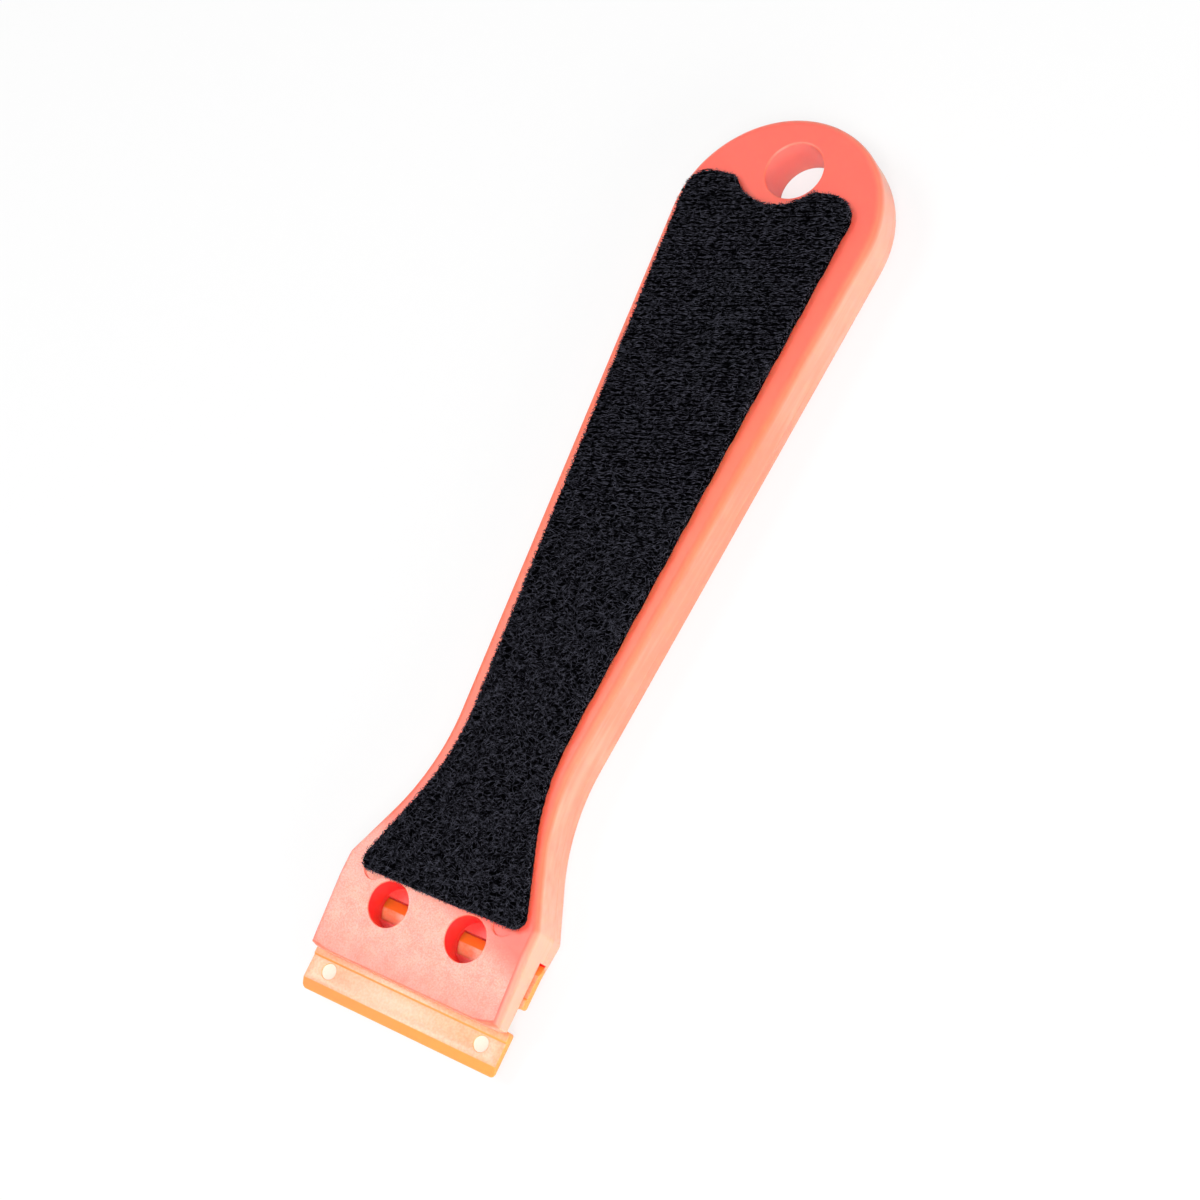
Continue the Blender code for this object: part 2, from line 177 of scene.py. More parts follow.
@dataclass(frozen=True)
class MouldedPolypropylene:
    """Coral polypropylene, injection moulded.

    The mould's polished faces leave it satin, and it is a little see-through. Its roundings are drawn
    more orange and its walls paler, painted light for how the light falls on them, both paler again
    towards the ends, and the face is drawn warmer about the grip's middle. The walls have faint streaks
    where it flowed in. The sloping jaw was finely pitted by spark erosion in the mould, and is drawn paler
    still: a painted reflection haze over the pits. Real pits are too fine to show, so they are drawn coarser.
    """

    name: str = "satin_moulded_polypropylene"
    color: str = "#FB5C47"
    warm: str = "#FC6A47"
    # Painted light: the roundings drawn more orange and the walls paler, both paler again at the ends.
    rounded: str = "#FC6E3E"
    far_rounding_painted_light: str = "#FE7858"
    wall_painted_light: str = "#FE8A6D"
    far_wall_painted_light: str = "#FFAA91"
    # Painted reflection haze over the jaw's pits, in a darker and a paler tone.
    pit_haze_dark: str = "#FF8C7A"
    pit_haze_pale: str = "#FFAE9E"
    glow: float = 1.2 * MM
    glow_shares: tuple[float, float, float] = (2.5, 0.22, 0.12)
    pit_size: float = 0.3 * MM
    pit_depth: float = 0.05 * MM
    pits_to_blotches: float = 3.0
    blotch_size: float = 2.6 * MM
    haze_size: float = 0.9 * MM
    flow_scale: float = 90.0
    flow_wander: float = 40.0 * MM
    middle_end: float = 45.0 * MM
    ends_start: float = 85.0 * MM
    streak_width: float = 0.9 * MM
    streak_squeeze: float = 0.03
    streak_share: float = 0.25
    lip: float = -77.0 * MM
    lip_haze_fade: float = 7.0 * MM
    grain_end: float = -57.0 * MM
    grain_fade: float = 5.0 * MM
    haze_skew: float = 0.4
    haze_lean: float = 0.55

    def jaw(self, tree: bpy.types.NodeTree, place: Any, facing: Any,
            upright: bpy.types.Node) -> bpy.types.Node:
        """Find where the jaw's sloping front is drawn pale: its pits under a painted reflection haze.

        Args:
            tree: The node tree.
            place: The sockets of the place's X, Y and Z.
            facing: The sockets of the normal's X, Y and Z.
            upright: How squarely a face looks up or down.

        Returns:
            A node that is 1 on the jaw, less towards its lip where the painted haze is weaker, and 0
            elsewhere.
        """
        # Leaning on the normal's X spreads the painted highlight onto the left rounding and keeps it off the
        # right one.
        left = add_node(tree, "Math", {0: facing["X"], 1: -self.haze_lean, 2: upright},
                        operation="MULTIPLY_ADD")
        flat = add_node(tree, "MapRange", {"Value": left, "From Min": 0.9, "From Max": 0.97})
        # The skew lets the painted haze reach further up the jaw on the left than on the right.
        askew = add_node(tree, "Math", {0: place["X"], 1: self.haze_skew, 2: place["Y"]},
                         operation="MULTIPLY_ADD")
        below = add_node(tree, "MapRange", {"Value": askew, "From Min": self.grain_end,
                                            "From Max": self.grain_end - self.grain_fade})
        # Towards the lip the painted haze is halved.
        lip_haze = add_node(tree, "MapRange", {"Value": place["Y"], "From Min": self.lip,
                                             "From Max": self.lip + self.lip_haze_fade, "To Min": 0.5})
        sloping = add_node(tree, "Math", {0: below, 1: lip_haze}, operation="MULTIPLY")
        return add_node(tree, "Math", {0: flat, 1: sloping}, operation="MULTIPLY")

    def polished(self, tree: bpy.types.NodeTree, spot: bpy.types.NodeSocket, y: bpy.types.NodeSocket,
                 upright: bpy.types.Node) -> bpy.types.Node:
        """Colour the polished faces, which all but the jaw's front are, with painted light on their roundings
        and walls.

        Args:
            tree: The node tree.
            spot: The place on the handle.
            y: Its Y.
            upright: How squarely a face looks up or down.

        Returns:
            A node that gives the colour.
        """
        flow = add_node(tree, "TexNoise", {"Vector": spot, "Scale": self.flow_scale, "Detail": 2.0})
        from_middle = add_node(tree, "Math", {0: y}, operation="ABSOLUTE")
        wander = add_node(tree, "Math", {0: flow, 1: self.flow_wander, 2: from_middle},
                          operation="MULTIPLY_ADD")
        ends = add_node(tree, "MapRange", {"Value": wander, "From Min": self.middle_end,
                                           "From Max": self.ends_start})
        drawn_out = add_node(tree, "Mapping", {"Vector": spot, "Scale": (1.0, self.streak_squeeze, 1.0)})
        streak = add_node(tree, "TexNoise", {"Vector": drawn_out, "Scale": 1 / self.streak_width,
                                             "Detail": 2.0})
        swing = add_node(tree, "MapRange", {"Value": streak, "From Min": 0.3, "From Max": 0.7,
                                            "To Min": -self.streak_share, "To Max": self.streak_share})
        streaked = add_node(tree, "Math", {0: ends, 1: swing}, operation="ADD", use_clamp=True)
        # Painted light: the roundings' more orange tone and the walls' paler one, paler again towards the
        # ends.
        face, rounding, wall_painted_light = [add_node(tree, "Mix", {0: share, 6: middle, 7: end}, data_type="RGBA")
                                for share, middle, end in ((ends, self.warm, self.color),
                                                           (ends, self.rounded, self.far_rounding_painted_light),
                                                           (streaked, self.wall_painted_light, self.far_wall_painted_light))]
        # The more a face turns away from up, the more of the roundings' and then the walls' painted light it
        # takes.
        curved = add_node(tree, "MapRange", {"Value": upright, "From Min": 0.99, "From Max": 0.8})
        standing = add_node(tree, "MapRange", {"Value": upright, "From Min": 0.65, "From Max": 0.15})
        top = add_node(tree, "Mix", {0: curved, 6: face, 7: rounding}, data_type="RGBA")
        return add_node(tree, "Mix", {0: standing, 6: top, 7: wall_painted_light}, data_type="RGBA")

    def material(self) -> bpy.types.Material:
        """Build the material.

        Returns:
            The material.
        """
        material, tree, shader = new_material(self.name, {
            "IOR": 1.49, "Specular IOR Level": 0.9, "Subsurface Weight": 0.8, "Subsurface Scale": self.glow,
            "Subsurface Radius": self.glow_shares})
        spot = add_node(tree, "TexCoord").outputs["Object"]
        place = add_node(tree, "SeparateXYZ", {0: spot}).outputs
        facing = add_node(tree, "SeparateXYZ", {0: add_node(tree, "NewGeometry").outputs["Normal"]}).outputs
        upright = add_node(tree, "Math", {0: facing["Z"]}, operation="ABSOLUTE")
        jaw = self.jaw(tree, place, facing, upright)
        polished = self.polished(tree, spot, place["Y"], upright)
        pits = add_node(tree, "TexNoise", {"Vector": spot, "Scale": 1 / self.pit_size, "Detail": 3.0,
                                           "Roughness": 0.7})
        blotch = add_node(tree, "TexNoise", {"Vector": spot, "Scale": 1 / self.blotch_size, "Detail": 2.0})
        mottle = add_node(tree, "Math", {0: pits, 1: self.pits_to_blotches, 2: blotch},
                          operation="MULTIPLY_ADD")
        speck = add_node(tree, "MapRange", {"Value": mottle, "From Min": 1.55, "From Max": 2.45})
        # The pits' two tones carry the painted reflection haze.
        pitted = add_node(tree, "Mix", {0: speck, 6: self.pit_haze_dark, 7: self.pit_haze_pale}, data_type="RGBA")
        base = add_node(tree, "Mix", {0: jaw, 6: polished, 7: pitted}, data_type="RGBA")
        haze = add_node(tree, "TexNoise", {"Vector": spot, "Scale": 1 / self.haze_size, "Detail": 2.0})
        satin = add_node(tree, "MapRange", {"Value": haze, "To Min": 0.42, "To Max": 0.5})
        rough = add_node(tree, "Mix", {0: jaw, 2: satin, 3: 0.55})
        relief_share = add_node(tree, "MapRange", {"Value": jaw, "To Min": 0.04, "To Max": 0.5})
        bump = add_node(tree, "Bump", {"Strength": relief_share, "Distance": self.pit_depth, "Height": pits})
        set_inputs(tree, shader, {"Base Color": base, "Roughness": rough, "Normal": bump})
        return material


@dataclass(frozen=True)
class MouldedPolycarbonate:
    """Amber polycarbonate, injection moulded, so it is semi-gloss and a little see-through.

    The blade's flats are drawn paler and finely speckled: a painted reflection haze, with the specks
    drawn coarse.
    """

    color: str = "#FF9538"
    deep: str = "#FF8A2C"
    # The flats' two tones, paler than the amber: a painted reflection haze.
    frosted: str = "#FFA67D"
    speckled: str = "#FF9060"
    glow: float = 1.4 * MM
    flow_size: float = 6.25 * MM
    speck_size: float = 0.4 * MM
    speck_depth: float = 0.03 * MM

    def material(self) -> bpy.types.Material:
        """Build the material.

        Returns:
            The material.
        """
        material, tree, shader = new_material("glossy_amber_polycarbonate", {
            "IOR": 1.58, "Specular IOR Level": 0.9, "Subsurface Weight": 0.4, "Subsurface Scale": self.glow,
            "Subsurface Radius": (1.0, 0.45, 0.12)})
        place = add_node(tree, "TexCoord").outputs["Object"]
        flow = add_node(tree, "TexNoise", {"Vector": place, "Scale": 1 / self.flow_size, "Detail": 3.0})
        tint = add_node(tree, "Mix", {0: flow, 6: self.color, 7: self.deep}, data_type="RGBA")
        speck = add_node(tree, "TexNoise", {"Vector": place, "Scale": 1 / self.speck_size, "Detail": 3.0})
        share = add_node(tree, "MapRange", {"Value": speck, "From Min": 0.35, "From Max": 0.65})
        frost = add_node(tree, "Mix", {0: share, 6: self.speckled, 7: self.frosted}, data_type="RGBA")
        # Faces that look up take the painted reflection haze.
        facing = add_node(tree, "SeparateXYZ", {0: add_node(tree, "NewGeometry").outputs["Normal"]})
        flat = add_node(tree, "MapRange", {"Value": facing.outputs["Z"], "From Min": 0.93, "From Max": 0.99})
        skin = add_node(tree, "Mix", {0: flat, 6: tint, 7: frost}, data_type="RGBA")
        set_inputs(tree, shader, {"Base Color": skin})
        relief(tree, shader, speck, (0.32, 0.42), 0.16, self.speck_depth)
        return material


@dataclass(frozen=True)
class PinMarkedPolycarbonate:
    """The same resin where an ejector pin pressed it: a frosted disc that looks nearly white."""

    color: str = "#F6D8CA"
    clear: str = "#F1C8B5"
    frost_size: float = 0.25 * MM
    frost_depth: float = 0.03 * MM

    def material(self) -> bpy.types.Material:
        """Build the material.

        Returns:
            The material.
        """
        material, tree, shader = new_material("frosted_amber_polycarbonate", {"IOR": 1.58})
        place = add_node(tree, "TexCoord").outputs["Object"]
        frost = add_node(tree, "TexNoise", {"Vector": place, "Scale": 1 / self.frost_size, "Detail": 3.0})
        tint = add_node(tree, "Mix", {0: frost, 6: self.clear, 7: self.color}, data_type="RGBA")
        set_inputs(tree, shader, {"Base Color": tint})
        relief(tree, shader, frost, (0.45, 0.65), 0.3, self.frost_depth)
        return material


@dataclass(frozen=True)
class BlackPolyester:
    """Black polyester yarn, brushed: matt; a loop's top is drawn greyer, a painted highlight, and between
    loops and low down it is drawn black, painted shade.

    Its filaments are too fine to show, so their grain is drawn coarser.
    """

    name: str = "brushed_black_polyester"
    # A loop's top is mottled from dark to light, the light being a painted highlight; lower down the painted
    # shade takes over.
    dark: str = "#0B0B0E"
    light: str = "#3D3D46"
    painted_shade: str = "#020203"
    clump: float = 0.55 * MM
    rise: tuple[float, float] = (9.85 * MM, 10.28 * MM)
    filament_size: float = 0.12 * MM
    filament_depth: float = 0.03 * MM

    def material(self) -> bpy.types.Material:
        """Build the material.

        Returns:
            The material.
        """
        material, tree, shader = new_material(self.name, {"IOR": 1.1, "Specular IOR Level": 0.03})
        place = add_node(tree, "TexCoord").outputs["Object"]
        patch = add_node(tree, "TexNoise", {"Vector": place, "Scale": 1 / self.clump, "Detail": 3.0,
                                            "Roughness": 0.6})
        share = add_node(tree, "MapRange", {"Value": patch, "From Min": 0.4, "From Max": 0.64})
        top = add_node(tree, "Mix", {0: share, 6: self.dark, 7: self.light}, data_type="RGBA")
        # Low places get the painted shade, high ones the tops' painted highlight.
        height = add_node(tree, "SeparateXYZ", {0: place}).outputs["Z"]
        above = add_node(tree, "MapRange", {"Value": height, "From Min": self.rise[0],
                                            "From Max": self.rise[1]})
        tint = add_node(tree, "Mix", {0: above, 6: self.painted_shade, 7: top}, data_type="RGBA")
        filament = add_node(tree, "TexNoise", {"Vector": place, "Scale": 1 / self.filament_size,
                                               "Detail": 2.0})
        set_inputs(tree, shader, {"Base Color": tint})
        relief(tree, shader, filament, (0.62, 0.9), 0.5, self.filament_depth)
        return material


@dataclass(frozen=True)
class AcrylicAdhesive:
    """Acrylic transfer adhesive: a clear soft film with a slightly wavy, glossy cut edge."""

    color: str = "#D8CDB8"
    pale: str = "#E6DFD0"
    ripple_size: float = 1.5 * MM
    ripple_depth: float = 0.05 * MM

    def material(self) -> bpy.types.Material:
        """Build the material.

        Returns:
            The material.
        """
        material, tree, shader = new_material("clear_acrylic_adhesive", {
            "IOR": 1.47, "Transmission Weight": 0.7})
        place = add_node(tree, "TexCoord").outputs["Object"]
        ripple = add_node(tree, "TexNoise", {"Vector": place, "Scale": 1 / self.ripple_size, "Detail": 2.0})
        tint = add_node(tree, "Mix", {0: ripple, 6: self.color, 7: self.pale}, data_type="RGBA")
        set_inputs(tree, shader, {"Base Color": tint})
        relief(tree, shader, ripple, (0.12, 0.3), 0.3, self.ripple_depth)
        return material


# Outlines


def arc(center: Vector, radius: float, start: float, stop: float, steps: int) -> list[Vector]:
    """Points along a circular arc, both ends included.

    Args:
        center: The arc's centre.
        radius: The arc's radius.
        start: The first angle.
        stop: The last angle.
        steps: How many chords the arc has.

    Returns:
        The points.
    """
    angles = [start + (stop - start) * i / steps for i in range(steps + 1)]
    return [center + Vector((math.cos(a), math.sin(a))) * radius for a in angles]


def fillet(before: Vector, corner: Vector, after: Vector, radius: float, steps: int) -> list[Pair]:
    """Round one corner of an outline.

    Args:
        before: The outline's point before the corner.
        corner: The corner.
        after: The outline's point after the corner.
        radius: The rounding's radius.
        steps: How many chords the rounding has.

    Returns:
        Pairs of a point and its direction away from the rounding's middle.
    """
    first = (before - corner).normalized()
    second = (after - corner).normalized()
    half = first.angle(second) / 2
    middle = corner + (first + second).normalized() * (radius / math.sin(half))
    start = corner + first * (radius / math.tan(half)) - middle
    stop = corner + second * (radius / math.tan(half)) - middle
    base = math.atan2(start.y, start.x)
    points = arc(middle, radius, base, base - start.angle_signed(stop), steps)
    return [(p, (p - middle).normalized()) for p in points]


def mirrored(points: list[Vector]) -> list[Vector]:
    """Close a right half outline with its mirror image.

    Args:
        points: The right half.

    Returns:
        The whole outline.
    """
    return points + [Vector((-p.x, p.y)) for p in reversed(points) if p.x > TINY]


def depth_inside(points: np.ndarray, outline: np.ndarray) -> np.ndarray:
    """How deep points lie inside a closed outline.

    Args:
        points: The points, as rows of x and y.
        outline: The outline's corners, as rows of x and y.

    Returns:
        Each point's distance from the outline, negative outside.
    """
    depth = np.empty(len(points))
    sides = np.roll(outline, -1, axis=0) - outline
    lengths = (sides ** 2).sum(axis=1)
    slopes = np.where(np.abs(sides[:, 1]) < 1e-12, 1e-12, sides[:, 1])
    for low in range(0, len(points), BATCH):
        part = points[low:low + BATCH]
        away = part[:, None, :] - outline[None, :, :]
        share = np.clip((away * sides).sum(axis=2) / lengths, 0, 1)
        near = np.sqrt(((away - share[:, :, None] * sides) ** 2).sum(axis=2).min(axis=1))
        high = outline[:, 1] > part[:, None, 1]
        passes = high != np.roll(high, -1, axis=1)
        cross = outline[:, 0] + (part[:, None, 1] - outline[:, 1]) * sides[:, 0] / slopes
        inside = (passes & (part[:, None, 0] < cross)).sum(axis=1) % 2 == 1
        depth[low:low + BATCH] = np.where(inside, near, -near)
    return depth


# Mesh tools


def link_object(name: str, data: bpy.types.ID) -> bpy.types.Object:
    """Make an object of some data and link it to the scene."""
    obj = bpy.data.objects.new(name, data)
    bpy.context.scene.collection.objects.link(obj)
    return obj


def link_mesh(name: str, bm: bmesh.types.BMesh) -> bpy.types.Object:
    """Turn a bmesh into a linked object at the origin, with its faces pointing outwards.

    Args:
        name: The object's name.
        bm: The bmesh, freed here.

    Returns:
        The object.
    """
    bmesh.ops.recalc_face_normals(bm, faces=bm.faces)
    mesh = bpy.data.meshes.new(name)
    bm.to_mesh(mesh)
    bm.free()
    return link_object(name, mesh)


def settle(obj: bpy.types.Object) -> None:
    """Make an object's mesh what its modifiers give, and drop the modifiers.

    Args:
        obj: The object.
    """
    graph = bpy.context.evaluated_depsgraph_get()
    mesh = bpy.data.meshes.new_from_object(obj.evaluated_get(graph), preserve_all_data_layers=True,
                                           depsgraph=graph)
    obj.modifiers.clear()
    old = obj.data
    obj.data = mesh
    bpy.data.meshes.remove(old)
    mesh.name = obj.name


def carve(obj: bpy.types.Object, others: Iterable[bpy.types.Object], operation: str = "DIFFERENCE") -> None:
    """Cut an object by others in one exact Boolean, which uses them up.

    Args:
        obj: The object.
        others: The cutters.
        operation: The Boolean's operation.
    """
    cutters = list(others)
    group = bpy.data.collections.new(obj.name + "_cutters")
    for cutter in cutters:
        group.objects.link(cutter)
    modifier = obj.modifiers.new("Cut", "BOOLEAN")
    modifier.operation = operation
    modifier.solver = "EXACT"
    modifier.operand_type = "COLLECTION"
    modifier.collection = group
    settle(obj)
    for cutter in cutters:
        bpy.data.objects.remove(cutter, do_unlink=True)
    bpy.data.collections.remove(group)


def block(name: str, low: Sequence[float], high: Sequence[float]) -> bpy.types.Object:
    """Make a block between two corners.

    Args:
        name: The object's name.
        low: The corner with the least x, y and z.
        high: The corner with the greatest x, y and z.

    Returns:
        The object.
    """
    bm = bmesh.new()
    bmesh.ops.create_cube(bm, size=1)
    bmesh.ops.scale(bm, vec=[b - a for a, b in zip(low, high)], verts=bm.verts)
    bmesh.ops.translate(bm, vec=[(a + b) / 2 for a, b in zip(low, high)], verts=bm.verts)
    return link_mesh(name, bm)


def extruded(name: str, ring: Iterable[Sequence[float]], way: Sequence[float]) -> bpy.types.Object:
    """Make a face from a ring of places and extrude it.

    Args:
        name: The object's name.
        ring: The places round the face.
        way: How far and in which direction it is extruded.

    Returns:
        The object.
    """
    bm = bmesh.new()
    face = bm.faces.new([bm.verts.new(place) for place in ring])
    walls = bmesh.ops.extrude_face_region(bm, geom=[face])
    moved = [item for item in walls["geom"] if isinstance(item, bmesh.types.BMVert)]
    bmesh.ops.translate(bm, vec=way, verts=moved)
    return link_mesh(name, bm)


def prism(name: str, outline: list[Vector], low: float, high: float) -> bpy.types.Object:
    """Make an upright prism from a closed outline.

    Args:
        name: The object's name.
        outline: The outline, in X and Y.
        low: The height of its lower face.
        high: The height of its upper face.

    Returns:
        The object.
    """
    return extruded(name, [(p.x, p.y, low) for p in outline], (0, 0, high - low))


def turned(bm: bmesh.types.BMesh, profile: list[tuple[float, float]], steps: int) -> None:
    """Turn a profile about the Z axis.

    Args:
        bm: The bmesh that gets it.
        profile: Radius and height of each point, from the axis out and back to the axis.
        steps: How many sides the turned shape has.
    """
    verts = [bm.verts.new((r, 0, z)) for r, z in profile]
    edges = [bm.edges.new(pair) for pair in zip(verts, verts[1:])]
    bmesh.ops.spin(bm, geom=verts + edges, cent=(0, 0, 0), axis=(0, 0, 1), angle=math.tau, steps=steps,
                   use_merge=True)
    bmesh.ops.remove_doubles(bm, verts=bm.verts, dist=TINY)


def finish_piece(obj: bpy.types.Object, materials: Iterable[bpy.types.Material], body: str,
                 stands_for: str | None = None, sharp: float | None = 35.0) -> None:
    """Shade a piece, give it its materials, and make it ride on its body.

    Args:
        obj: The piece.
        materials: Its materials, in the order of its faces' indices.
        body: The CAD body that it rides on.
        stands_for: The CAD node that it replaces, if any.
        sharp: Edges that turn more than this many degrees stay sharp, or None for a soft piece.
    """
    obj.data.materials.clear()
    for material in materials:
        obj.data.materials.append(material)
    obj.data.shade_smooth()
    if sharp is not None:
        obj.data.set_sharp_from_angle(angle=math.radians(sharp))
    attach(obj, body)
    if stands_for:
        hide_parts(stands_for)
    LOG.info("%s: %d faces, rides on %s", obj.name, len(obj.data.polygons), body)


@dataclass(frozen=True)
class Layout:
    """Places along the scraper that more than one of its pieces is set out from."""

    blade_reach: float = 6.6 * MM
    handle_length: float = 157.2 * MM
    head_half_width: float = 19.0 * MM
    neck_from_lip: float = 33.5 * MM
    neck_corner: float = 11.24 * MM
    end_radius: float = 19.3 * MM
    thickness: float = 8.7 * MM
    hole_radius: float = 5.5 * MM
    hole_from_end: float = 10.0 * MM
    window_radius: float = 3.65 * MM
    window_from_lip: float = 10.5 * MM
    blade_height: float = 18.4 * MM
    blade_seat: float = 2.4 * MM

    @property
    def y_edge(self) -> float:
        """Where the blade's outer edge is."""
        return -(self.blade_reach + self.handle_length) / 2

    @property
    def y_lip(self) -> float:
        """Where the handle's lip is."""
        return self.y_edge + self.blade_reach

    @property
    def y_end(self) -> float:
        """Where the hanging end is."""
        return self.y_lip + self.handle_length

    @property
    def y_hole(self) -> float:
        """Where the hanging hole's axis is."""
        return self.y_end - self.hole_from_end

    @property
    def y_window(self) -> float:
        """Where the windows' axes are."""
        return self.y_lip + self.window_from_lip


@dataclass
class Handle:
    """The moulded handle: a jaw with a slot for the blade, a waist, and a round end with a hanging hole."""

    layout: Layout
    lip_corner: tuple[float, float] = (1.3 * MM, 0.4 * MM)
    lip_height: float = 7.25 * MM
    lip_round: float = 0.35 * MM
    shoulder: float = 15.9 * MM
    shoulder_radius: float = 1.6 * MM
    neck_radius: float = 40.0 * MM
    front_crease: float = 12.2 * MM
    back_crease: float = 15.4 * MM
    crease_half: float = 0.9 * MM
    jaw_rise: float = 1.6 * MM
    jaw_setback: float = 4.7 * MM
    front_rounds: tuple[float, float] = (1.2 * MM, 1.6 * MM)
    back_rounds: tuple[float, float] = (1.0 * MM, 2.2 * MM)
    parting: float = 3.1 * MM
    parting_half: float = 0.1 * MM
    witness: float = 0.04 * MM
    slot_floor: float = 2.1 * MM
    slot_roof: float = 4.05 * MM
    slot_end: float = 12.1 * MM
    window_floor: float = 4.65 * MM
    window_spacing: float = 7.75 * MM
    gate: tuple[float, float] = (2.35 * MM, 1.5 * MM)
    gate_ledge: float = 0.06 * MM
    gate_above: float = 0.4 * MM
    dimple_radius: float = 2.0 * MM
    dimple_depth: float = 0.4 * MM
    dimple_spacing: float = 12.85 * MM
    dimple_from_lip: float = 15.0 * MM
    hole_draft: float = 0.35 * MM
    cheek_shares: tuple[float, ...] = (0.04, 0.12, 0.24, 0.43, 0.7)
    jaw_stations: tuple[float, ...] = (4.0 * MM, 7.5 * MM)
    corner_stations: tuple[float, ...] = (14.5 * MM, 14.8 * MM, 15.15 * MM)
    neck_shares: tuple[float, ...] = (0.1, 0.25, 0.5, 0.75)
    grip_shares: tuple[float, ...] = (0.12, 0.3, 0.5, 0.7, 0.88)
    end_steps: int = 44
    round_steps: int = 8
    hole_steps: int = 96
    mouth_start: float = 0.3
    overshoot: float = 0.1 * MM
    near: float = 0.05 * MM
    past: float = 2.0 * MM

    def eased(self, before: float) -> float:
        """Ease a face from level into its slope at a soft crease.

        Args:
            before: How far a place lies before the crease.

        Returns:
            The distance over which the slope has acted there.
        """
        if abs(before) >= self.crease_half:
            return max(before, 0.0)
        return (before + self.crease_half) ** 2 / (4 * self.crease_half)

    def front(self, y: float) -> float:
        """Height of the front face.

        Args:
            y: The place along Y.

        Returns:
            The height, with the lip rounded and the crease soft.
        """
        at = y - self.layout.y_lip
        slope = (self.layout.thickness - self.lip_height) / self.front_crease
        drop = self.eased(self.front_crease - at) * slope
        lip = max(self.lip_round - at, 0.0)
        curl = math.sqrt(max(self.lip_round ** 2 - lip ** 2, 0))
        return self.layout.thickness - drop - self.lip_round + curl

    def back(self, y: float) -> float:
        """Height of the back face.

        Args:
            y: The place along Y.

        Returns:
            The height, which rises under the jaw from a soft crease.
        """
        slope = self.jaw_rise / (self.back_crease - self.jaw_setback)
        return self.eased(self.back_crease - (y - self.layout.y_lip)) * slope

    def outline(self) -> list[Pair]:
        """The right half of the outline, from the lip to the hanging end.

        Returns:
            Pairs of a point and its outward direction, of unit pull.
        """
        lay = self.layout
        center = Vector((0, lay.y_end - lay.end_radius))
        lip = Vector((lay.head_half_width - self.lip_corner[0], lay.y_lip))
        cheek = Vector((lay.head_half_width, lay.y_lip + self.lip_corner[1]))
        shoulder = Vector((lay.head_half_width, lay.y_lip + self.shoulder))
        neck = Vector((lay.neck_corner, lay.y_lip + lay.neck_from_lip))
        away = neck - center
        angle = math.atan2(away.y, away.x) + math.acos(lay.end_radius / away.length)
        grip = center + Vector((math.cos(angle), math.sin(angle))) * lay.end_radius
        cut = Vector((self.lip_corner[1], -self.lip_corner[0])).normalized()
        side = Vector((1, 0))
        first_pull = Vector((1 / cut.x, 0))
        last_pull = (cut + side) / (1 + cut.dot(side))
        pairs = [(lip, first_pull)]
        for share in self.cheek_shares:
            pairs.append((lip.lerp(cheek, share), first_pull.lerp(last_pull, share)))
        pairs.append((cheek, last_pull))
        start = self.front_crease - self.crease_half
        stop = self.front_crease + self.crease_half
        crease = tuple(start + (stop - start) * i / 8 for i in range(9))
        for station in self.jaw_stations + crease + self.corner_stations:
            pairs.append((Vector((lay.head_half_width, lay.y_lip + station)), side))
        pairs += fillet(cheek, shoulder, neck, self.shoulder_radius, 10)
        run_start = pairs[-1]
        waist = fillet(shoulder, neck, grip, self.neck_radius, 26)
        for share in self.neck_shares:
            pairs.append((run_start[0].lerp(waist[0][0], share), run_start[1]))
        pairs += [(p, -n) for p, n in waist]
        start = math.atan2(grip.y - center.y, grip.x)
        for share in self.grip_shares:
            pairs.append((waist[-1][0].lerp(grip, share), Vector((math.cos(start), math.sin(start)))))
        for i in range(self.end_steps + 1):
            turn = start + (math.pi / 2 - start) * i / (self.end_steps + 0.5)
            out = Vector((math.cos(turn), math.sin(turn)))
            pairs.append((center + out * lay.end_radius, out))
        return pairs

    def levels(self) -> list[tuple[Section, float]]:
        """How each ring of the body lies, from the back face to the front face.

        Returns:
            The part of the section that each ring is on, with its angle on a rounding or its height on
            the side, where the middle ring is the parting line.
        """
        angles = [math.pi / 2 * i / self.round_steps for i in range(self.round_steps + 1)]
        rings = [(Section.BACK_ROUNDING, a) for a in reversed(angles)]
        rings += [(Section.SIDE, self.parting + way * self.parting_half) for way in (-1, 0, 1)]
        rings += [(Section.FRONT_ROUNDING, a) for a in angles]
        return rings

    def ring(self, bm: bmesh.types.BMesh, whole: list[Pair], level: tuple[Section, float]
             ) -> list[bmesh.types.BMEdge]:
        """Draw one ring of the body.

        Args:
            bm: The bmesh that gets it.
            whole: The closed outline.
            level: The ring's entry of levels().

        Returns:
            The ring's edges.
        """
        lay = self.layout
        part, value = level
        behind = part is Section.BACK_ROUNDING
        first, last = self.back_rounds if behind else self.front_rounds
        grip = lay.handle_length - lay.neck_from_lip - lay.end_radius
        verts = []
        for point, out in whole:
            if part is Section.SIDE:
                place = point + out * (self.witness if value == self.parting else 0.0)
                height = value
            else:
                share = min(max((point.y - lay.y_lip - lay.neck_from_lip) / grip, 0), 1)
                radius = first + (last - first) * share
                place = point - out * radius * (1 - math.cos(value))
                drop = radius * (1 - math.sin(value))
                height = self.back(place.y) + drop if behind else self.front(place.y) - drop
            verts.append(bm.verts.new((place.x, place.y, height)))
        return [bm.edges.new((a, b)) for a, b in zip(verts, verts[1:] + verts[:1])]

    def shell(self) -> bpy.types.Object:
        """Loft the body from its rings and close its two faces.

        Returns:
            The body without its holes.
        """
        half = self.outline()
        whole = half + [(Vector((-p.x, p.y)), Vector((-n.x, n.y))) for p, n in reversed(half)]
        bm = bmesh.new()
        loops = [self.ring(bm, whole, level) for level in self.levels()]
        for lower, upper in zip(loops, loops[1:]):
            bmesh.ops.bridge_loops(bm, edges=lower + upper)
        count = len(half)
        for loop in (loops[0], loops[-1]):
            bmesh.ops.bridge_loops(bm, edges=loop[:count - 1] + loop[count:2 * count - 1])
        return link_mesh("handle_coral_moulding", bm)

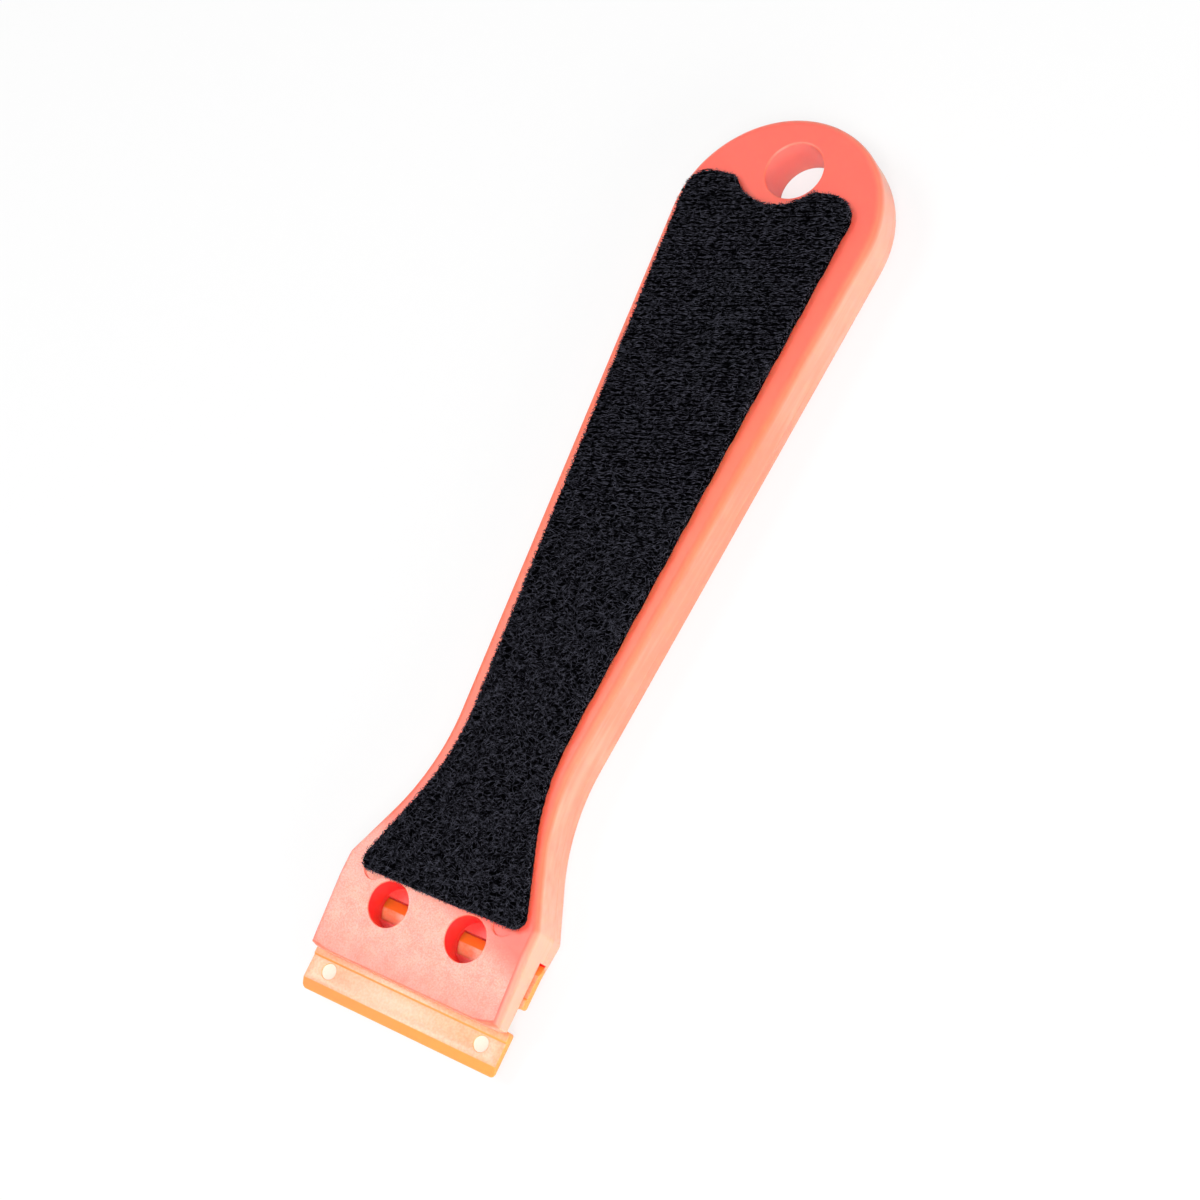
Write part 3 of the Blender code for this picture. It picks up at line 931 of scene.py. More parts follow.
    def mouth(self, name: str, radius: float, low: float, place: tuple[float, float], rim: Rim,
              draft: float | None = None) -> bpy.types.Object:
        """Make the cutter of a round hole whose mouth is rounded into the front face.

        Args:
            name: The cutter's name.
            radius: The hole's radius.
            low: The height of its floor.
            place: The hole's axis.
            rim: How far its mouth is rounded.
            draft: How much wider its mouth in the back face is, or None where it has none there.

        Returns:
            The cutter.
        """
        turn = rim.value
        first = self.mouth_start
        thickness = self.layout.thickness
        step = (math.pi / 2 - first) / self.round_steps
        angles = [first + step * i for i in range(self.round_steps + 1)]
        curl = [(radius + turn * (1 - math.sin(a)), -turn * (1 - math.cos(a))) for a in angles]
        run = (self.overshoot - curl[0][1]) / math.sin(first)
        wide = curl[0][0] + run * math.cos(first)
        curl.insert(0, (wide, self.overshoot))
        profile = [(0, self.past), (wide, self.past)] + curl
        floor = low - thickness
        if draft is None:
            profile += [(radius, floor), (0, floor)]
        else:
            profile += [(r + draft, -thickness - z) for r, z in reversed(curl)]
            profile += [(wide + draft, -thickness - self.past), (0, -thickness - self.past)]
        bm = bmesh.new()
        turned(bm, profile, self.hole_steps)
        bmesh.ops.translate(bm, vec=(place[0], place[1], 0), verts=bm.verts)
        for vert in bm.verts:
            level = draft is not None or abs(vert.co.z - floor) < TINY
            vert.co.z += thickness if level else self.front(vert.co.y)
        return link_mesh(name, bm)

    def gate_cutter(self, side: Side) -> bpy.types.Object:
        """Make the cutter of the gap between a window's two ledges, through to the blade.

        Args:
            side: Which window.

        Returns:
            The cutter.
        """
        lay = self.layout
        low = (self.slot_floor + self.slot_roof) / 2
        high = self.window_floor + self.gate_above
        radius = lay.window_radius - self.gate_ledge
        bm = bmesh.new()
        bmesh.ops.create_cone(bm, cap_ends=True, segments=90, radius1=radius, radius2=radius,
                              depth=high - low)
        for edge, way in ((-self.gate[0], -1), (self.gate[1], 1)):
            cut = bmesh.ops.bisect_plane(bm, geom=bm.verts[:] + bm.edges[:] + bm.faces[:],
                                         plane_co=(0, edge, 0), plane_no=(0, way, 0), clear_outer=True)
            rim = [item for item in cut["geom_cut"] if isinstance(item, bmesh.types.BMEdge)]
            bmesh.ops.edgeloop_fill(bm, edges=rim)
        shift = (side.value * self.window_spacing, lay.y_window, (low + high) / 2)
        bmesh.ops.translate(bm, vec=shift, verts=bm.verts)
        return link_mesh("gate_" + side.name.lower(), bm)

    def cutters(self) -> list[bpy.types.Object]:
        """Make everything that is cut from the body.

        Returns:
            The cutters.
        """
        lay = self.layout
        wide = lay.head_half_width + self.past
        low = lay.y_lip - self.past
        slot = block("slot", (-wide, low, self.slot_floor),
                     (wide, lay.y_lip + self.slot_end, self.slot_roof))
        step = block("jaw_step", (-wide, low, -self.past),
                     (wide, lay.y_lip + self.jaw_setback, self.slot_roof))
        hole = self.mouth("hanging_hole", lay.hole_radius - self.hole_draft, 0.0, (0, lay.y_hole), Rim.FLARED,
                          self.hole_draft)
        made = [slot, step, hole]
        dimple_floor = lay.thickness - self.dimple_depth
        for side in Side:
            which = side.name.lower()
            place = (side.value * self.window_spacing, lay.y_window)
            made.append(self.mouth("window_" + which, lay.window_radius, self.window_floor, place,
                                   Rim.MOULDED))
            made.append(self.gate_cutter(side))
            place = (side.value * self.dimple_spacing, lay.y_lip + self.dimple_from_lip)
            made.append(self.mouth("dimple_" + which, self.dimple_radius, dimple_floor, place, Rim.CRISP))
        return made

    def zone(self, face: bpy.types.MeshPolygon) -> int:
        """Tell which hole a face lies in.

        Args:
            face: The face.

        Returns:
            0 outside, 1 in a window or in the blade's slot, 2 in the hanging hole.
        """
        lay = self.layout
        near = self.near
        place = face.center
        from_axis = (place.xy - Vector((0, lay.y_hole))).length
        if from_axis < lay.hole_radius + near and abs(face.normal.z) < 0.9:
            return 2
        if place.z <= self.slot_floor - near:
            return 0
        in_window = any((place.xy - Vector((side.value * self.window_spacing, lay.y_window))).length
                        < lay.window_radius + near for side in Side)
        in_slot = (abs(place.x) < lay.head_half_width - near and place.z < self.slot_roof + near
                   and lay.y_lip + near < place.y < lay.y_lip + self.slot_end + near)
        return 1 if in_slot or in_window else 0

    def build(self, skins: Sequence[bpy.types.Material]) -> bpy.types.Object:
        """Build and dress the handle.

        Args:
            skins: Its material outside, in the windows and the slot, and in the hanging hole.

        Returns:
            The handle.
        """
        body = self.shell()
        carve(body, self.cutters())
        finish_piece(body, skins, "grip", "handle", 32.0)
        for face in body.data.polygons:
            face.material_index = self.zone(face)
        weigh = body.modifiers.new("Even shading", "WEIGHTED_NORMAL")
        weigh.keep_sharp = True
        return body


@dataclass
class Blade:
    """The double-edged blade: flat behind, with a raised band, bevelled edges, notched ends and pin marks."""

    layout: Layout
    width: float = 39.0 * MM
    thickness: float = 1.1 * MM
    edge: float = 0.12 * MM
    bevel: float = 1.6 * MM
    band: float = 3.5 * MM
    band_rise: float = 0.25 * MM
    corner: float = 0.75 * MM
    notch: tuple[float, float, float] = (1.95 * MM, 1.6 * MM, 0.5 * MM)
    mark_radius: float = 1.3 * MM
    mark_depth: float = 0.1 * MM
    mark_inset: tuple[float, float] = (4.05 * MM, 3.9 * MM)
    mark_flare: float = 0.05 * MM
    edge_round: float = 0.05 * MM
    above: float = 1.0 * MM

    @property
    def mark_floor(self) -> float:
        """How high the pin marks' floors lie."""
        return self.layout.blade_seat + self.thickness - self.mark_depth

    def section(self) -> bpy.types.Object:
        """Run the blade's section across its width.

        Returns:
            The long bar that the plan is cut from.
        """
        lay = self.layout
        half = lay.blade_height / 2
        slope = (self.thickness - self.edge) / self.bevel
        past = self.edge / 2
        side = [(half + self.corner, 0), (half + self.corner, past), (half + past / slope, past),
                (half - self.bevel, self.thickness), (self.band + self.band_rise, self.thickness),
                (self.band, self.thickness + self.band_rise)]
        middle = lay.y_edge + half
        ring = side + [(-y, z) for y, z in reversed(side)]
        places = [(-self.width, middle + y, lay.blade_seat + z) for y, z in ring]
        return extruded("blade_amber_double_edged", places, (2 * self.width, 0, 0))

    def plan(self) -> bpy.types.Object:
        """Make the prism of the blade's outline.

        Returns:
            The prism.
        """
        lay = self.layout
        half = lay.blade_height / 2
        right = self.width / 2
        notch, depth, turn = self.notch
        corners = [(Vector((right, -half)), self.corner), (Vector((right, -notch)), turn),
                   (Vector((right - depth, -notch)), turn), (Vector((right - depth, notch)), turn),
                   (Vector((right, notch)), turn), (Vector((right, half)), self.corner)]
        places = [Vector((0, -half))] + [c for c, _ in corners] + [Vector((0, half))]
        points: list[Vector] = []
        for i, (corner, radius) in enumerate(corners):
            points += [p for p, _ in fillet(places[i], corner, places[i + 2], radius, 10)]
        shift = Vector((0, lay.y_edge + half))
        outline = [p + shift for p in mirrored(points)]
        return prism("blade_plan", outline, 0, lay.thickness)

    def marks(self) -> list[bpy.types.Object]:
        """Make the cutters of the four pin marks.

        Returns:
            The cutters.
        """
        floor = self.mark_floor
        wide = self.mark_radius + self.mark_flare
        profile = [(0, floor + self.above), (wide, floor + self.above), (wide, floor + self.mark_depth),
                   (self.mark_radius, floor), (0, floor)]
        made = []
        for place in self.mark_places():
            bm = bmesh.new()
            turned(bm, profile, 48)
            bmesh.ops.translate(bm, vec=(place.x, place.y, 0), verts=bm.verts)
            made.append(link_mesh("pin_mark", bm))
        return made

    def mark_places(self) -> list[Vector]:
        """Where the pin marks are.

        Returns:
            Their middles.
        """
        middle = self.layout.y_edge + self.layout.blade_height / 2
        x = self.width / 2 - self.mark_inset[0]
        y = self.layout.blade_height / 2 - self.mark_inset[1]
        return [Vector((sx * x, middle + sy * y)) for sy in (-1, 1) for sx in (-1, 1)]

    def build(self, amber: bpy.types.Material, frosted: bpy.types.Material) -> bpy.types.Object:
        """Build and dress the blade.

        Args:
            amber: The blade's material.
            frosted: The pin marks' material.

        Returns:
            The blade.
        """
        blade = self.section()
        carve(blade, [self.plan()], "INTERSECT")
        carve(blade, self.marks())
        soften = blade.modifiers.new("Soft edges", "BEVEL")
        soften.width = self.edge_round
        soften.segments = 2
        soften.limit_method = "ANGLE"
        soften.angle_limit = math.radians(24)
        soften.use_clamp_overlap = False
        settle(blade)
        finish_piece(blade, [amber, frosted], "blade", "scraper_blade", 28.0)
        marks = self.mark_places()
        for face in blade.data.polygons:
            on_floor = abs(face.center.z - self.mark_floor) < self.mark_depth / 5 and face.normal.z > 0.9
            near = min((face.center.xy - place).length for place in marks)
            face.material_index = 1 if on_floor and near < self.mark_radius else 0
        return blade


@dataclass
class Strands:
    """Four-sided strands, swept as one bevelled curve and kept as a closed mesh."""

    name: str
    radius: float
    runs: list[np.ndarray]

    def mesh_object(self) -> bpy.types.Object:
        """Sweep every run, close its ends and lay its faces out in a UV map.

        Returns:
            The strands' object.
        """
        curve = bpy.data.curves.new(self.name, "CURVE")
        curve.dimensions = "3D"
        curve.bevel_depth = self.radius
        curve.bevel_resolution = 0
        curve.use_fill_caps = True
        for run in self.runs:
            spline = curve.splines.new("POLY")
            spline.points.add(len(run) - 1)
            rows = np.ones((len(run), 4), np.float32)
            rows[:, :3] = run[:, :3]
            spline.points.foreach_set("co", rows.ravel())
            spline.points.foreach_set("radius", run[:, 3].astype(np.float32))
        source = link_object(self.name + "_line", curve)
        graph = bpy.context.evaluated_depsgraph_get()
        mesh = bpy.data.meshes.new_from_object(source.evaluated_get(graph))
        bpy.data.objects.remove(source, do_unlink=True)
        bpy.data.curves.remove(curve)
        self.lay_out(mesh)
        bm = bmesh.new()
        bm.from_mesh(mesh)
        bmesh.ops.remove_doubles(bm, verts=bm.verts, dist=2 * TINY)
        bm.to_mesh(mesh)
        bm.free()
        mesh.name = self.name
        return link_object(self.name, mesh)

    def lay_out(self, mesh: bpy.types.Mesh) -> None:
        """Give every face a cell of its own in a UV map.

        Args:
            mesh: The strands' mesh.
        """
        while mesh.uv_layers:
            mesh.uv_layers.remove(mesh.uv_layers[0])
        layer = mesh.uv_layers.new(name="OFBake")
        starts = np.empty(len(mesh.polygons), np.int64)
        counts = np.empty(len(mesh.polygons), np.int64)
        mesh.polygons.foreach_get("loop_start", starts)
        mesh.polygons.foreach_get("loop_total", counts)
        across = math.ceil(math.sqrt(len(mesh.polygons)))
        face = np.repeat(np.arange(len(counts)), counts)
        corner = np.arange(len(mesh.loops)) - np.repeat(starts, counts)
        spot = np.array(((0.12, 0.12), (0.88, 0.12), (0.88, 0.88), (0.12, 0.88)))[corner % 4]
        spot[:, 0] += face % across
        spot[:, 1] += face // across
        layer.data.foreach_set("uv", (spot / across).astype(np.float32).ravel())


@dataclass
class KnitPad:
    """The stuck-on pad: clear adhesive, a ground cloth, its courses of pile loops, and brushed-up fibre."""

    layout: Layout
    seat: float = 8.7 * MM
    above_window: float = 0.05 * MM
    foot_margin: float = 2.2 * MM
    foot_radius: float = 2.0 * MM
    neck_shift: float = 2.8 * MM
    neck_margin: float = 2.62 * MM
    neck_radius: float = 42.0 * MM
    top_below_hole: float = 3.3 * MM
    top_margin: float = 2.9 * MM
    ear_radius: float = 4.2 * MM
    hole_margin: float = 3.7 * MM
    scoop_shift: float = 2.0 * MM
    scoop_edge: float = 1.2 * MM
    skew: float = math.radians(1.05)
    shift: float = 0.7 * MM
    ground_top: float = 9.85 * MM
    face: float = 10.35 * MM
    wale: float = 1.7 * MM
    course: float = 0.86 * MM
    lean: float = math.radians(14.4)
    loop_length: float = 2.3 * MM
    loop_bow: float = 0.16 * MM
    ply_gap: float = 0.19 * MM
    ply_stray: tuple[float, float] = (0.03 * MM, 0.08 * MM)
    loop_stray: tuple[float, float] = (0.1 * MM, 0.2 * MM)
    course_drift: tuple[float, float] = (0.2 * MM, 0.15 * MM)
    yarn_radius: float = 0.105 * MM
    loop_points: int = 8
    foot_depth: float = 0.12 * MM
    middle_from_foot: float = 65.0 * MM
    reach: float = 38.0 * MM
    rows: int = 84
    brush_end: float = 20.0 * MM
    brush_fade: float = 40.0 * MM
    drift_scale: float = 110.0
    film_inset: float = 0.9 * MM
    film_lift: float = 0.03 * MM
    film_top: float = 9.16 * MM
    cloth_inset: float = 0.12 * MM
    cloth_lift: float = 0.5 * MM
    cloth_grain: float = 0.42 * MM
    weave_depth: float = 0.05 * MM
    sag_depth: float = 0.2 * MM
    sag_reach: float = 0.6 * MM
    tuck_depth: float = 0.42 * MM
    tuck_reach: float = 0.85 * MM
    fibre_radius: float = 0.05 * MM
    fibre_length: tuple[float, float] = (1.0 * MM, 2.6 * MM)
    fibre_height: tuple[float, float] = (-0.2 * MM, 0.02 * MM)
    fibre_inset: float = 0.1 * MM
    fibre_lift: float = 0.16 * MM
    fibre_curl: float = 3.0
    fibre_points: int = 5
    fringe_radius: float = 0.045 * MM
    fringe_height: tuple[float, float] = (8.9 * MM, 10.2 * MM)
    fringe_root: tuple[float, float] = (0.1 * MM, 0.6 * MM)
    fringe_reach: tuple[float, float] = (-0.05 * MM, 0.3 * MM)
    fringe_spread: float = 0.7
    bands: tuple[float, ...] = (-1.0, -35.0 * MM, -2.0 * MM, 32.0 * MM, 1.0)
    curls: int = 6500
    edge_curls: int = 5000
    seed: int = 7

    @property
    def y_foot(self) -> float:
        """Where the pad's foot is."""
        return self.layout.y_window + self.layout.window_radius + self.above_window

    def outline(self, inset: float = 0.0, fine: int = 1) -> list[Vector]:
        """The pad's outline, set in place on the handle.

        Args:
            inset: How far it is drawn in from the pad's edge.
            fine: How many times finer its roundings are drawn.

        Returns:
            The closed outline.
        """
        lay = self.layout
        y_neck = lay.y_lip + lay.neck_from_lip + self.neck_shift - self.y_foot
        y_top = lay.y_hole - self.top_below_hole - self.y_foot - inset
        foot = Vector((lay.head_half_width - self.foot_margin - inset, inset))
        neck = Vector((lay.neck_corner - self.neck_margin - inset, y_neck))
        ear = Vector((lay.end_radius - self.top_margin - inset, y_top))
        radius = lay.hole_radius + self.hole_margin + inset
        scoop = Vector((0, lay.y_hole + self.scoop_shift - self.y_foot))
        half = math.sqrt(radius ** 2 - (scoop.y - y_top) ** 2)
        edge = Vector((half, y_top))
        inner = edge - Vector((scoop.y - y_top, half)).normalized() * self.scoop_edge * 2
        pairs = fillet(Vector((0, inset)), foot, neck, self.foot_radius, 8 * fine)
        pairs += fillet(foot, neck, ear, self.neck_radius, 16 * fine)
        pairs += fillet(neck, ear, edge, self.ear_radius, 10 * fine)
        pairs += fillet(ear, edge, inner, self.scoop_edge, 6 * fine)
        points = [p for p, _ in pairs]
        last = points[-1] - scoop
        points += arc(scoop, radius, math.atan2(last.y, last.x), -math.pi / 2, 12 * fine)[1:]
        points[-1].x = 0
        turn = Matrix.Rotation(self.skew, 2)
        return [turn @ p + Vector((self.shift, self.y_foot)) for p in mirrored(points)]

    def border(self, inset: float = 0.0) -> np.ndarray:
        """The outline as rows of x and y.

        Args:
            inset: How far it is drawn in from the pad's edge.

        Returns:
            The rows.
        """
        return np.array([tuple(p) for p in self.outline(inset)])

    def sag(self, depth: np.ndarray) -> np.ndarray:
        """How far the cloth's face falls towards its cut edge.

        Args:
            depth: The distance inside the edge.

        Returns:
            The fall.
        """
        share = np.clip(1 - depth / self.sag_reach, 0, 1)
        return self.sag_depth * (1 - np.sqrt(np.clip(1 - share ** 2, 0, 1)))

    def adhesive(self, clear: bpy.types.Material) -> bpy.types.Object:
        """Build the adhesive that holds the pad.

        Args:
            clear: Its material.

        Returns:
            The adhesive.
        """
        film = prism("pad_clear_adhesive", self.outline(self.film_inset, 2), self.seat + self.film_lift,
                     self.film_top)
        finish_piece(film, [clear], "grip", "pad_adhesive")
        return film

    def ground(self, cloth: bpy.types.Material) -> bpy.types.Object:
        """Build the ground cloth, crowned, rounded at its cut edge and dimpled by its stitches.

        Args:
            cloth: Its material.

        Returns:
            The ground cloth.
        """
        low = self.seat + self.cloth_lift
        ground = prism("knit_ground_cloth", self.outline(self.cloth_inset, 2), low, self.ground_top)
        remesh = ground.modifiers.new("Even mesh", "REMESH")
        remesh.mode = "VOXEL"
        remesh.voxel_size = self.cloth_grain
        settle(ground)
        count = len(ground.data.vertices)
        places = np.empty(count * 3, np.float32)
        ground.data.vertices.foreach_get("co", places)
        places = places.reshape(-1, 3).astype(float)
        depth = depth_inside(places[:, :2], self.border())
        u, v = self.across_courses(places[:, :2])
        weave = self.weave_depth * np.cos(math.tau * v / self.course * 2) * np.cos(math.tau * u / self.wale)
        top = self.ground_top - self.sag(depth) + weave * (depth > self.sag_reach)
        tuck = self.tuck_depth * np.clip(1 - depth / self.tuck_reach, 0, 1) ** 0.5
        places[:, 2] = np.where(places[:, 2] > (low + self.ground_top) / 2, top, low - tuck)
        ground.data.vertices.foreach_set("co", places.astype(np.float32).ravel())
        ground.data.update()
        finish_piece(ground, [cloth], "grip", "felt_pad", None)
        return ground

    def across_courses(self, places: np.ndarray) -> tuple[np.ndarray, np.ndarray]:
        """Measure places along and across the courses.

        Args:
            places: Rows of x and y.

        Returns:
            The distances along the courses and across them.
        """
        y = places[:, 1] - (self.y_foot + self.middle_from_foot)
        u = places[:, 0] * math.cos(self.lean) + y * math.sin(self.lean)
        v = y * math.cos(self.lean) - places[:, 0] * math.sin(self.lean)
        return u, v

    def brushed(self, y: float) -> float:
        """How strongly the face is brushed at a place along Y.

        Args:
            y: The place.

        Returns:
            From 0, where the courses lie clear, to 1.
        """
        share = min(max((self.brush_end - y) / self.brush_fade, 0), 1)
        return share * share * (3 - 2 * share)

    def loop(self, picker: random.Random, u: float, v: float, y: float) -> np.ndarray:
        """Lead one ply of one pile loop up from the ground cloth, along its course, and down again.

        Args:
            picker: The seeded source of chance.
            u: Where it rises along its course.
            v: Its place across the courses.
            y: Its place along Y, which says how strongly it is brushed.

        Returns:
            Rows of the distance along the courses, across them, the height and the share of the radius.
        """
        soft = self.brushed(y)
        share = np.linspace(0, 1, self.loop_points)
        length = self.loop_length * picker.uniform(0.75, 1.25) * (1 - 0.3 * soft)
        turn = picker.gauss(0, 0.06 + 0.17 * soft)
        wave = picker.uniform(0, math.tau)
        bow = self.loop_bow * (1 + 0.7 * soft) * picker.uniform(0.4, 1.3)
        side = bow * np.sin(share * math.tau * 0.9 + wave)
        along = (share - 0.5) * length
        rise = (self.face - self.yarn_radius - self.ground_top + self.foot_depth) * picker.uniform(0.72, 1.0)
        height = self.ground_top - self.foot_depth + rise * np.sin(math.pi * share) ** 0.55
        return np.stack((u + length / 2 + along * math.cos(turn) - side * math.sin(turn),
                         v + along * math.sin(turn) + side * math.cos(turn), height,
                         0.72 + 0.28 * np.sin(math.pi * share)), axis=1)

    def courses(self) -> list[np.ndarray]:
        """Set the pile loops side by side along every course.

        Returns:
            Runs of x, y, z and share of the yarn's radius.
        """
        picker = random.Random(self.seed)
        noise.seed_set(self.seed)
        border = self.border()
        low = border[:, 1].min() - self.wale
        high = border[:, 1].max() + self.wale
        middle = self.y_foot + self.middle_from_foot
        runs: list[np.ndarray] = []
        for row in range(-self.rows, self.rows + 1):
            u = -self.reach - picker.uniform(0, self.wale)
            while u < self.reach:
                u += self.wale * picker.uniform(0.75, 1.25)
                y = u * math.sin(self.lean) + row * self.course * math.cos(self.lean) + middle
                if not low < y < high:
                    continue
                soft = self.brushed(y)
                aside, along, drifting = (calm + soft * more for calm, more in (
                    self.ply_stray, self.loop_stray, self.course_drift))
                for ply in (-1, 0, 1):
                    v = row * self.course + ply * self.ply_gap + picker.gauss(0, aside)
                    rows = self.loop(picker, u + picker.gauss(0, along), v, y)
                    x = rows[:, 0] * math.cos(self.lean) - rows[:, 1] * math.sin(self.lean)
                    rows[:, 1] = rows[:, 0] * math.sin(self.lean) + rows[:, 1] * math.cos(self.lean) + middle
                    rows[:, 0] = x
                    drift = noise.noise_vector(Vector((x[0], rows[0, 1], 0)) * self.drift_scale)
                    drift *= drifting
                    rows[:, 0] += drift.x
                    rows[:, 1] += drift.y
                    runs.append(rows)
        return self.trimmed(runs, border, self.cloth_inset)

    def trimmed(self, runs: list[np.ndarray], border: np.ndarray, margin: float) -> list[np.ndarray]:
        """Let runs of equal length follow the cloth's sag, and shear off what passes its edge.

        Args:
            runs: The runs.
            border: The pad's edge.
            margin: How far inside the edge they end.

        Returns:
            What is left of them.
        """
        table = np.concatenate(runs)
        depth = depth_inside(table[:, :2], border)
        table[:, 2] -= self.sag(depth)
        kept = []
        for rows, deep in zip(np.split(table, len(runs)), np.split(depth, len(runs))):
            outside = np.flatnonzero(deep < margin)
            if len(outside):
                rows = rows[:outside[0]] if outside[0] > 2 else rows[outside[-1] + 1:]
            if len(rows) > 2:
                kept.append(rows)
        return kept

    def fibre(self, picker: random.Random, x: float, y: float, z: float, heading: float, length: float
              ) -> np.ndarray:
        """Bend one loose fibre.

        Args:
            picker: The seeded source of chance.
            x: Where it starts along X.
            y: Where it starts along Y.
            z: Its height.
            heading: The direction in which it sets off.
            length: Its length.

        Returns:
            Rows of x, y, z and share of the radius.
        """
        curl = picker.uniform(-self.fibre_curl, self.fibre_curl)
        lift = picker.uniform(0.0, self.fibre_lift)
        chords = self.fibre_points - 1
        rows = []
        for i in range(self.fibre_points):
            rows.append((x, y, z + lift * math.sin(math.pi * i / chords), 1.0 - 0.16 * i))
            heading += curl / self.fibre_points
            x += math.cos(heading) * length / chords
            y += math.sin(heading) * length / chords
        return np.array(rows)

    def fuzz(self) -> list[np.ndarray]:
        """Scatter the loose fibres over the face, thicker where it is brushed more.

        Returns:
            The fibres.
        """
        picker = random.Random(self.seed)
        border = self.border()
        low = border.min(axis=0)
        high = border.max(axis=0)
        spots = []
        while len(spots) < self.curls:
            x = picker.uniform(low[0], high[0])
            y = picker.uniform(low[1], high[1])
            if picker.random() < 0.18 + 0.82 * self.brushed(y):
                spots.append((x, y))
        runs = []
        for x, y in spots:
            heading = self.lean + picker.gauss(0, 0.25 + 0.5 * self.brushed(y)) + picker.choice((0, math.pi))
            length = picker.uniform(*self.fibre_length)
            z = self.face + picker.uniform(*self.fibre_height)
            runs.append(self.fibre(picker, x, y, z, heading, length))
        return self.trimmed(runs, border, self.fibre_inset)

    def fringe(self) -> list[np.ndarray]:
        """Let cut fibre ends stand out from the pad's edge.

        Returns:
            The fibres.
        """
        picker = random.Random(self.seed + 1)
        border = self.border()
        sides = np.roll(border, -1, axis=0) - border
        lengths = np.sqrt((sides ** 2).sum(axis=1))
        reach = np.cumsum(lengths)
        runs = []
        for _ in range(self.edge_curls):
            at = picker.uniform(0, reach[-1])
            i = int(np.searchsorted(reach, at))
            share = (reach[i] - at) / lengths[i]
            out = math.atan2(-sides[i][0], sides[i][1])
            inside = picker.uniform(*self.fringe_root)
            spot = border[i] + sides[i] * (1 - share) - np.array((math.cos(out), math.sin(out))) * inside
            z = picker.uniform(*self.fringe_height)
            heading = out + picker.gauss(0, self.fringe_spread)
            length = inside + picker.uniform(*self.fringe_reach)
            runs.append(self.fibre(picker, spot[0], spot[1], z, heading, length))
        return runs

    def build(self, yarn: bpy.types.Material, cloth: bpy.types.Material, loose: bpy.types.Material,
              cut: bpy.types.Material, clear: bpy.types.Material) -> None:
        """Build and dress the whole pad.

        Args:
            yarn: The courses' material.
            cloth: The ground cloth's material.
            loose: The loose fibres' material.
            cut: The material of the fibres along the cut edge.
            clear: The adhesive's material.
        """
        film = self.adhesive(clear)
        ground = self.ground(cloth)
        runs = self.courses()
        pieces = []
        for number, (low, high) in enumerate(zip(self.bands, self.bands[1:]), 1):
            band = [run for run in runs if low <= run[0][1] < high]
            pieces.append((Strands(f"knit_courses_{number}", self.yarn_radius, band), yarn))
        fuzz = self.fuzz()
        half = len(fuzz) // 2
        for number, part in enumerate((fuzz[:half], fuzz[half:]), 1):
            pieces.append((Strands(f"brushed_fibre_{number}", self.fibre_radius, part), loose))
        pieces.append((Strands("edge_fibre", self.fringe_radius, self.fringe()), cut))
        for strands, material in pieces:
            piece = strands.mesh_object()
            finish_piece(piece, [material], "grip", None, None)
        border = self.border(self.cloth_inset)


